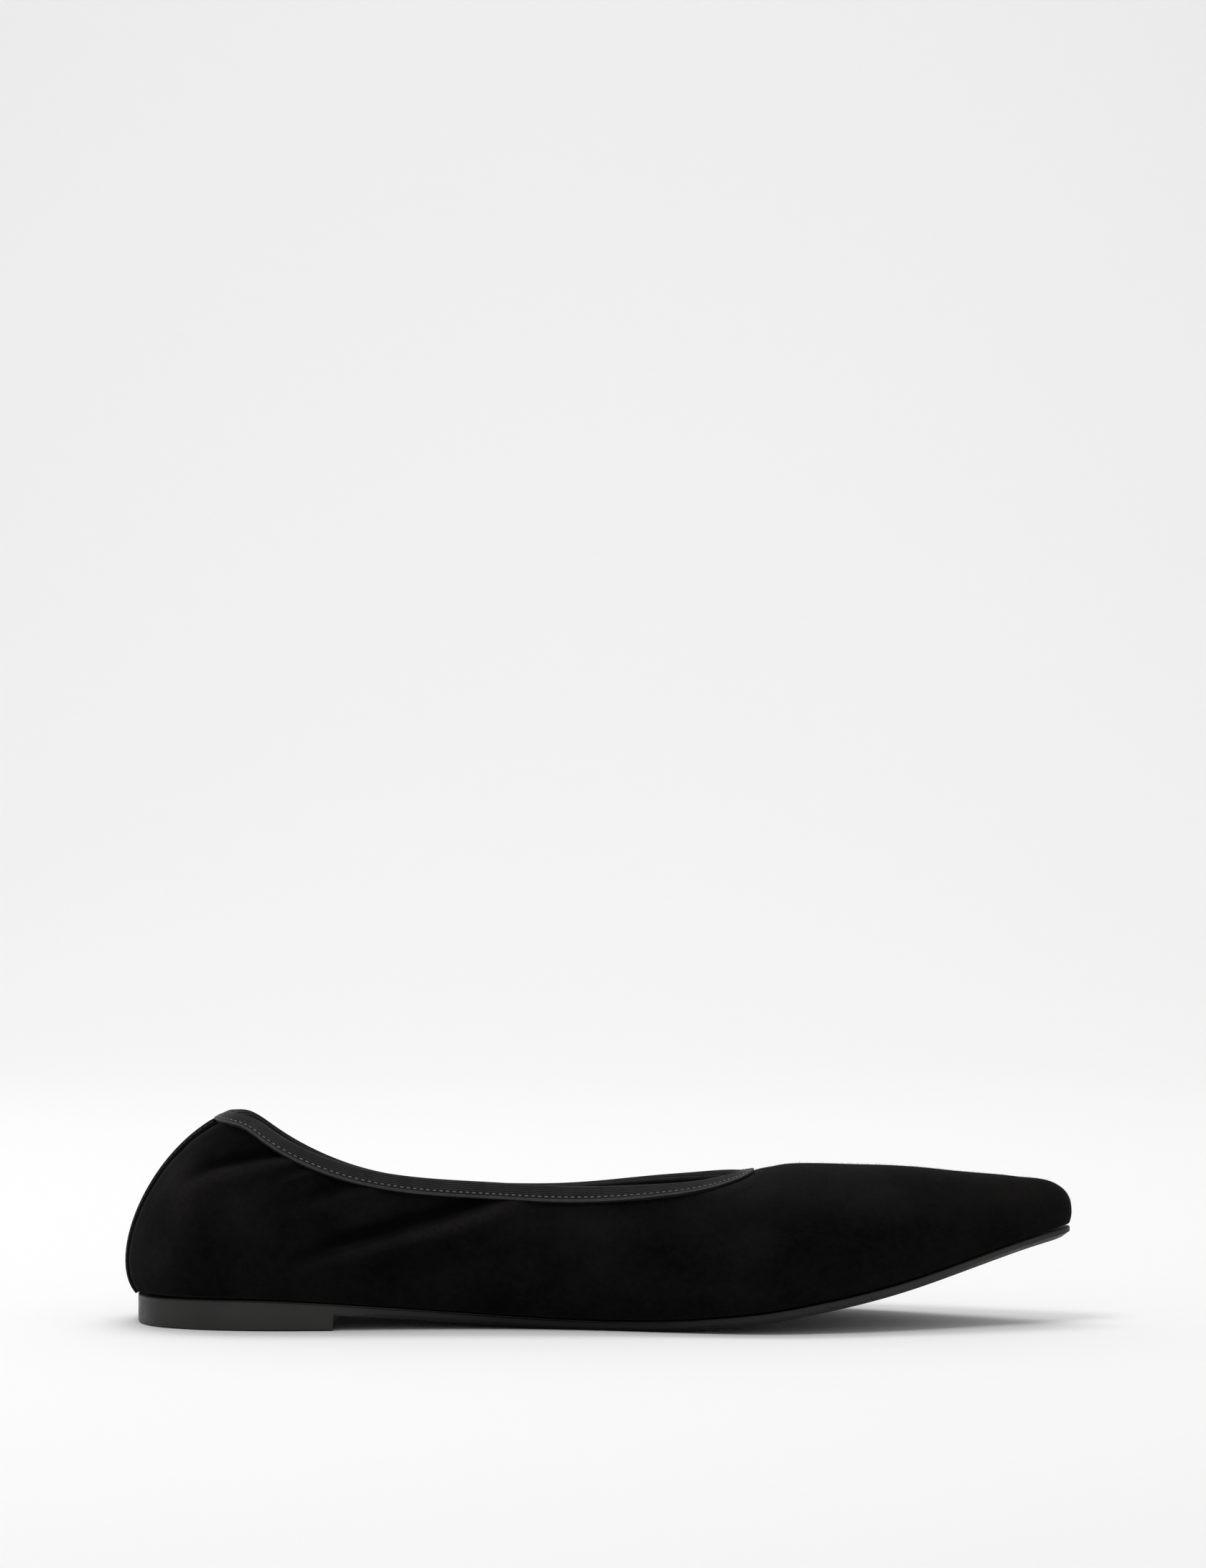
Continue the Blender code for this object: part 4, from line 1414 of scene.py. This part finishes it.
@dataclass
class CollarTape:
    """The ribbed elastic tape folded over the collar: body, ribs, selvedge and stitches.

    A place on it is given by its distance across: over the outer leg from its lower edge, over
    the fold, and down the inner leg.
    """

    last: Last
    wall: float = WALL
    clearance: float = CLEARANCE
    width: float = TAPE_WIDTH
    thickness: float = 0.0008
    seat: float = 0.3
    leg_points: int = 9
    fold_points: int = 17
    fold_power: float = 0.8
    # Share of the fold past which the inner leg carries painted shade
    back_from: float = 0.54
    rib_pitch: float = 0.00052
    rib_radius: float = 0.00019
    rib_sunk: float = 0.00004
    rib_gap: float = 0.00062
    selvedge_at: tuple = (0.00014, 0.00050)
    selvedge_radius: float = 0.00018
    selvedge_lift: float = 0.00002
    stitch_up: float = 0.00122
    stitch_lift: float = 0.00006
    stitch_pitch: float = 0.0018
    stitch_length: float = 0.00125
    thread_radius: float = 0.00024

    @cached_property
    def collar(self) -> tuple[Array, ...]:
        """The collar edge, from the back by the inner side and round to the back.

        Returns:
            Side, station and height of its points, the points, and which way is out and down.
        """
        station = np.concatenate((np.linspace(0, 5, 51), np.linspace(5, THROAT - 1, 61)[1:],
                                  turning_stations()[1:]))
        both = np.concatenate((station, station[-2:0:-1]))
        side = np.where(np.arange(len(both)) < len(station), Side.MEDIAL.value,
                        Side.LATERAL.value)
        up = self.last.collar_up(side, both)
        edge = self.last.surface(side, both, up)
        outward = self.last.directions(side, both, up)[2]
        run = np.roll(edge, -1, axis=0) - np.roll(edge, 1, axis=0)
        downward = np.cross(run, outward)
        downward /= np.linalg.norm(downward, axis=-1, keepdims=True)
        return side, both, up, edge, outward, downward

    @property
    def crest(self) -> float:
        """Length over the fold, from one leg to the other."""
        return self.wall + 3 * (self.clearance + self.thickness)

    @property
    def bends(self) -> tuple[float, ...]:
        """Places across the tape where its inner face turns, from its inner edge back."""
        return (2 * self.width + self.crest, self.width + self.crest, self.width, 0.0)

    def ring_at(self, across: float, lift: float) -> Array:
        """The line right round the tape at a distance across it.

        Args:
            across: Distance over the outer leg, the fold and the inner leg.
            lift: Height over the tape's plain face.

        Returns:
            Points right round the collar.
        """
        side, station, up, edge, outward, downward = self.collar
        raise_by = THROAT_LIFT * throat_share(edge[:, 0])
        skin = self.clearance + self.thickness + lift
        past_fold = across - self.width - self.crest
        if across <= self.width:
            at, height = self.last.walk(side, station, up, downward, self.width - across)
            return self.last.raised(side, at, height, skin + raise_by)
        if past_fold >= 0:
            at, height = self.last.walk(side, station, up, downward, past_fold)
            return self.last.raised(side, at, height, raise_by - self.wall - skin)
        angle = math.pi * (across - self.width) / self.crest
        reach = (self.wall / 2 + skin) * abs(math.cos(angle)) ** self.fold_power
        out = raise_by + math.copysign(reach, math.cos(angle)) - self.wall / 2
        return edge + outward * out[:, None] - downward * skin * math.sin(angle) ** self.fold_power

    def body(self) -> bpy.types.Object:
        """The plain woven body under the ribs.

        Returns:
            The piece, with the tape's length and width as its flat coordinates.
        """
        leg = np.linspace(0, self.width, self.leg_points)
        fold = self.width + np.linspace(0, self.crest, self.fold_points)[1:]
        steps = np.concatenate((leg, fold, self.width + self.crest + leg[1:]))
        inside = self.clearance * self.seat - self.clearance - self.thickness
        rings = [self.ring_at(float(step), 0.0) for step in steps]
        rings += [self.ring_at(step, inside) for step in self.bends]
        points = np.stack(rings, axis=1)
        points = np.concatenate((points, points[:1]))
        fold_line = points[:, self.leg_points - 1]
        lengths = np.linalg.norm(np.diff(fold_line, axis=0), axis=1)
        run = np.concatenate(([0.0], np.cumsum(lengths)))
        across = np.concatenate((steps, self.bends))
        flat = np.stack(np.meshgrid(run, across, indexing="ij"), axis=-1)
        faces = quads(*points.shape[:2], closed=True)
        piece = make_piece("tape_body", [Grid(points, faces, flat)], 1e-6)
        face_outwards(piece)
        return piece

    def darken_back(self, body: bpy.types.Object) -> None:
        """Gives the inner leg, which lies in the shoe's own shade, painted shade in near black.

        Args:
            body: The tape's body, with its two materials.
        """
        across = body.data.uv_layers["flat"].data
        for face in body.data.polygons:
            reach = sum(across[corner].uv[1] for corner in face.loop_indices) / face.loop_total
            face.material_index = int(reach > self.width + self.back_from * self.crest)

    def rib_places(self) -> list[float]:
        """Where the ribs lie across the tape.

        Returns:
            Their places, from over the stitches to the top of the fold.
        """
        first = self.stitch_up + self.rib_gap
        run = self.width + 0.5 * self.crest - first
        count = round(run / self.rib_pitch)
        return [first + i * run / count for i in range(count + 1)]

    def cords(self, name: str, radius: float, sides: int, rings: list[Array],
              finish: TapeFinish) -> bpy.types.Object:
        """Fine cords right round the tape.

        Args:
            name: The piece's name.
            radius: Radius of a cord.
            sides: Sides of its section.
            rings: The line of each cord.
            finish: Their finish.

        Returns:
            The piece.
        """
        laying = cord_pattern(f"{name}_laying", radius, sides, finish.make())
        return laying.bake(make_paths(f"{name}_lines", rings, True), name)

    def build(self) -> list[bpy.types.Object]:
        """Builds the tape.

        Returns:
            The body, the ribs, the selvedge and the stitches.
        """
        body = self.body()
        # The inner leg gets painted shade: a near-black copy of the elastic
        painted_shade_back = TapeFinish("elastic_back_painted_shade", "UV", (0.0016, 0.0015, 0.0016),
                                (0.0030, 0.0029, 0.0030), (0.004, 0.0039, 0.004), 0.0, 0.03)
        for finish in (TapeFinish(), painted_shade_back):
            body.data.materials.append(finish.make())
        self.darken_back(body)
        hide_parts("collar_binding")
        rings = [self.ring_at(place, -self.rib_sunk) for place in self.rib_places()]
        ribs = self.cords("tape_ribs", self.rib_radius, 5, rings, TapeFinish(
            "elastic_rib", "Object", (0.011, 0.0107, 0.0115), (0.026, 0.0252, 0.0275),
            (0.045, 0.0435, 0.047), 0.04, 0.2))
        rings = [self.ring_at(place, self.selvedge_lift) for place in self.selvedge_at]
        selvedge = self.cords("tape_selvedge", self.selvedge_radius, 6, rings, TapeFinish(
            "elastic_edge", "Object", (0.026, 0.0255, 0.0270), (0.050, 0.049, 0.0515),
            (0.07, 0.068, 0.072), 0.05, 0.25))
        sewing = stitch_pattern("collar_sewing", self.stitch_pitch, self.stitch_length,
                                self.thread_radius,
                                ThreadFinish("collar_thread", (0.105, 0.102, 0.105)).make())
        row = make_paths("stitch_lines", [self.ring_at(self.stitch_up, self.stitch_lift)], True)
        return [body, ribs, selvedge, sewing.bake(row, "tape_stitches")]


@dataclass
class Outsole:
    """The moulded sole: heel, breast, arch, bevel under the edge and toe spring."""

    last: Last
    clearance: float = CLEARANCE
    heel_length: float = 0.0551
    band_height: float = 0.0014
    bevel_depth: float = 0.0018
    bevel_start: float = 0.0061
    bevel_run: float = 0.0076
    edge_round: float = 0.0005
    edge_proud: float = 0.0003
    lip: float = 0.0003
    breast_run: float = 0.02
    breast_clear: tuple = (0.02, 0.04)
    across: int = 13
    sharp_angle: float = 22.0
    soft_angle: float = 28.0
    soft_edge: float = 0.00022

    def stations(self) -> tuple[Array, float]:
        """Columns along the sole, with two at the heel's breast.

        Returns:
            The columns' stations and the breast's.
        """
        last = self.last
        fine = np.linspace(0, TIP, TIP * 50 + 1)
        along = last.sole_length * last.look("along", fine)
        breast = float(np.interp(self.heel_length, along, fine))
        even = np.concatenate((np.linspace(0, 4, 61), np.linspace(4, 19, 121)[1:],
                               np.linspace(19, TIP, 31)[1:]))
        before, after = self.breast_clear
        even = even[(even < breast - before) | (even > breast + after)]
        return np.sort(np.append(even, (breast, breast + self.breast_run))), breast

    def levels(self) -> tuple[Array, tuple]:
        """Levels of the sole's wall, from the top down.

        Returns:
            The columns' stations, and inset and height of each level.
        """
        last = self.last
        station, breast = self.stations()
        ahead = last.sole_length * last.look("along", station) - self.heel_length
        bevel = np.clip((ahead - self.bevel_start) / self.bevel_run, 0, 1)
        under = np.where(station <= breast, 0.0, np.maximum(last.sole_lift(station), 0.0))
        top = last.feather(1, station)[2] - self.clearance
        band = (under + self.edge_round) * (1 - bevel) + (top - self.band_height) * bevel
        foot = self.edge_round * (1 - bevel) + self.bevel_depth * bevel - self.edge_proud
        proud = -self.edge_proud
        return station, ((self.lip + proud, top), (proud, top - self.lip), (proud, band),
                         (foot, under))

    def build(self) -> list[bpy.types.Object]:
        """Builds the sole with rounded edges.

        Returns:
            The sole.
        """
        station, levels = self.levels()
        ring = plate_ring(self.last, station, levels, self.across)
        sole = make_piece("rubber_sole", [Grid(ring, quads(*ring.shape[:2], closed=True))])
        sole.data.set_sharp_from_angle(angle=math.radians(self.sharp_angle))
        soften = sole.modifiers.new("soft_edges", "BEVEL")
        soften.width = self.soft_edge
        soften.segments = 2
        soften.limit_method = "ANGLE"
        soften.angle_limit = math.radians(self.soft_angle)
        sole.data.materials.append(RubberFinish().make())
        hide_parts("outsole")
        return [sole]


@dataclass(frozen=True)
class Worn:
    """A shallow worn hollow across the sock."""

    x: float
    reach: float
    depth: float


@dataclass
class Sock:
    """The sock that lies on the sole: a thin sheet with a soft edge and a worn footbed."""

    last: Last
    wall: float = WALL
    inset: float = 0.0007
    thickness: float = 0.0018
    edge_round: float = 0.0005
    columns: int = 169
    across: int = 25
    hollows: tuple = (Worn(0.002, 0.024, 0.00045), Worn(0.118, 0.030, 0.00035))
    hollow_power: float = 1.5
    row_start: int = 3
    row_end: int = -6
    row_inset: float = 0.0026
    row_lift: float = 0.00002
    stitch_pitch: float = 0.0022
    stitch_length: float = 0.0016
    thread_radius: float = 0.00016

    def stitch_row(self, station: Array, inset: float) -> Array:
        """Line of the stitches round the sock.

        Args:
            station: Stations that the row passes on each side.
            inset: How far in from the feather edge it runs.

        Returns:
            Points of the row, forward on the inner side and back on the outer.
        """
        path = []
        for side in Side:
            x, y = self.last.plan_edge(side.value, station, np.full(station.shape, inset))
            z = self.last.feather(side.value, station)[2] + self.thickness + self.row_lift
            path.append(np.stack((x, y, z), axis=-1))
        return np.concatenate((path[0], path[1][::-1]))

    def build(self) -> list[bpy.types.Object]:
        """Builds the sock and the row of stitches round it.

        Returns:
            The sock and its stitches.
        """
        station = np.linspace(0, TIP, self.columns)
        foot = self.last.feather(1, station)[2]
        start = self.wall + self.inset
        top = foot + self.thickness
        levels = ((start + self.edge_round, top), (start, top - self.edge_round), (start, foot))
        ring = plate_ring(self.last, station, levels, self.across)
        face = ring[:, :self.across]
        middle = np.sin(np.pi * np.linspace(0, 1, self.across)) ** self.hollow_power
        face[..., 2] -= middle * sum(
            wear_and_highlight.depth * bell(face[..., 0], wear_and_highlight.x, wear_and_highlight.reach) for wear_and_highlight in self.hollows)
        sock = make_piece("sock_lining", [Grid(ring, quads(*ring.shape[:2], closed=True))])
        sock.data.materials.append(SockFinish().make())
        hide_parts("insole")
        sewing = stitch_pattern("sock_sewing", self.stitch_pitch, self.stitch_length,
                                self.thread_radius,
                                ThreadFinish("sock_thread", (0.03, 0.0295, 0.03)).make())
        row = self.stitch_row(station[self.row_start:self.row_end],
                              start + self.row_inset)
        stitches = sewing.bake(make_paths("sock_row", [row], True), "sock_stitches")
        return [sock, stitches]


@dataclass(frozen=True)
class SoftLight:
    """A soft rectangular light: where it hangs, the point it faces, its size and its watts."""

    name: str
    place: tuple
    aim: tuple
    size: tuple
    power: float

    def hang(self) -> None:
        """Hangs the light in the scene."""
        lamp = bpy.data.lights.new(self.name, "AREA")
        lamp.shape = "RECTANGLE"
        lamp.size, lamp.size_y = self.size
        lamp.energy = self.power
        hung = add_object(self.name, lamp)
        hung.location = self.place
        facing = Vector(np.subtract(self.aim, self.place))
        hung.rotation_euler = facing.to_track_quat("-Z", "Y").to_euler()


LIGHTS = (
    SoftLight("key", (-0.3, -0.5, 1.35), (0.1, 0.0, 0.0), (0.5, 0.5), 6.6),
    SoftLight("overhead", (0.1, 0.2, 1.6), (0.1, 0.05, 0.0), (0.9, 0.7), 3.1),
    SoftLight("left_soft", (-0.9, 0.65, 0.3), (0.0, 0.0, 0.01), (0.5, 0.4), 1.1),
    SoftLight("sweep_wash", (0.1, 0.9, 2.3), (0.1, 1.5, 0.15), (2.2, 0.8), 23.0),
)


@dataclass
class Studio:
    """The pale floor with its sweep, the soft lights and the camera."""

    floor_front: float = -2.5
    floor_back: float = 1.1
    sweep: float = 0.9
    height: float = 3.2
    half_width: float = 3.0
    columns: int = 7
    air: float = 0.48
    lens: float = 107.14
    sensor_width: float = 36.0
    eye: tuple = (0.103, -1.300, 0.1493)

    def stage(self) -> None:
        """Lays the floor, which curves up behind the shoe."""
        angle = np.linspace(0, math.pi / 2, 25)
        y = np.concatenate(([self.floor_front, 0.0], self.floor_back + self.sweep * np.sin(angle),
                            [self.floor_back + self.sweep]))
        z = np.concatenate(([0.0, 0.0], self.sweep * (1 - np.cos(angle)), [self.height]))
        x = np.linspace(-self.half_width, self.half_width, self.columns)
        points = np.stack(np.broadcast_arrays(x[:, None], y, z), axis=-1)
        floor = make_piece("studio_floor", [Grid(points, quads(self.columns, len(y)))])
        floor.data.materials.append(PaperFinish().make())

    def photographer(self) -> None:
        """Sets up the camera, level and square to the shoe's inner side."""
        lens = bpy.data.cameras.new("camera")
        lens.lens = self.lens
        lens.sensor_width = self.sensor_width
        lens.clip_start = 0.05
        camera = add_object("camera", lens)
        camera.location = self.eye
        camera.rotation_euler = (math.pi / 2, 0.0, 0.0)
        bpy.context.scene.camera = camera

    def build(self) -> None:
        """Builds the floor, the lights, the world and the camera."""
        self.stage()
        for light in LIGHTS:
            light.hang()
        world = bpy.data.worlds.new("studio_air")
        bpy.context.scene.world = world
        world.use_nodes = True
        sky = world.node_tree.nodes["Background"]
        sky.inputs["Color"].default_value = (1.0, 1.0, 1.0, 1.0)
        sky.inputs["Strength"].default_value = self.air
        bpy.context.scene.view_settings.view_transform = "Standard"
        self.photographer()


def main() -> None:
    """Builds the shoe's pieces in order, then the studio."""
    logging.basicConfig(level=logging.INFO, format="%(message)s")
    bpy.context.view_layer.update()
    last = Last()
    crew = (
        (Outsole(last), Slot.OUTSOLE),
        (Sock(last), Slot.INSOLE),
        (Upper(last), Slot.SUEDE),
        (BackStrip(last), Slot.SUEDE),
        (CollarTape(last), Slot.ELASTIC),
    )
    for builder, slot in crew:
        for piece in builder.build():
            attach(piece, "root")
            LOG.info("%s: %d faces", piece.name, len(piece.data.polygons))
    Studio().build()


if __name__ == "__main__":
    main()
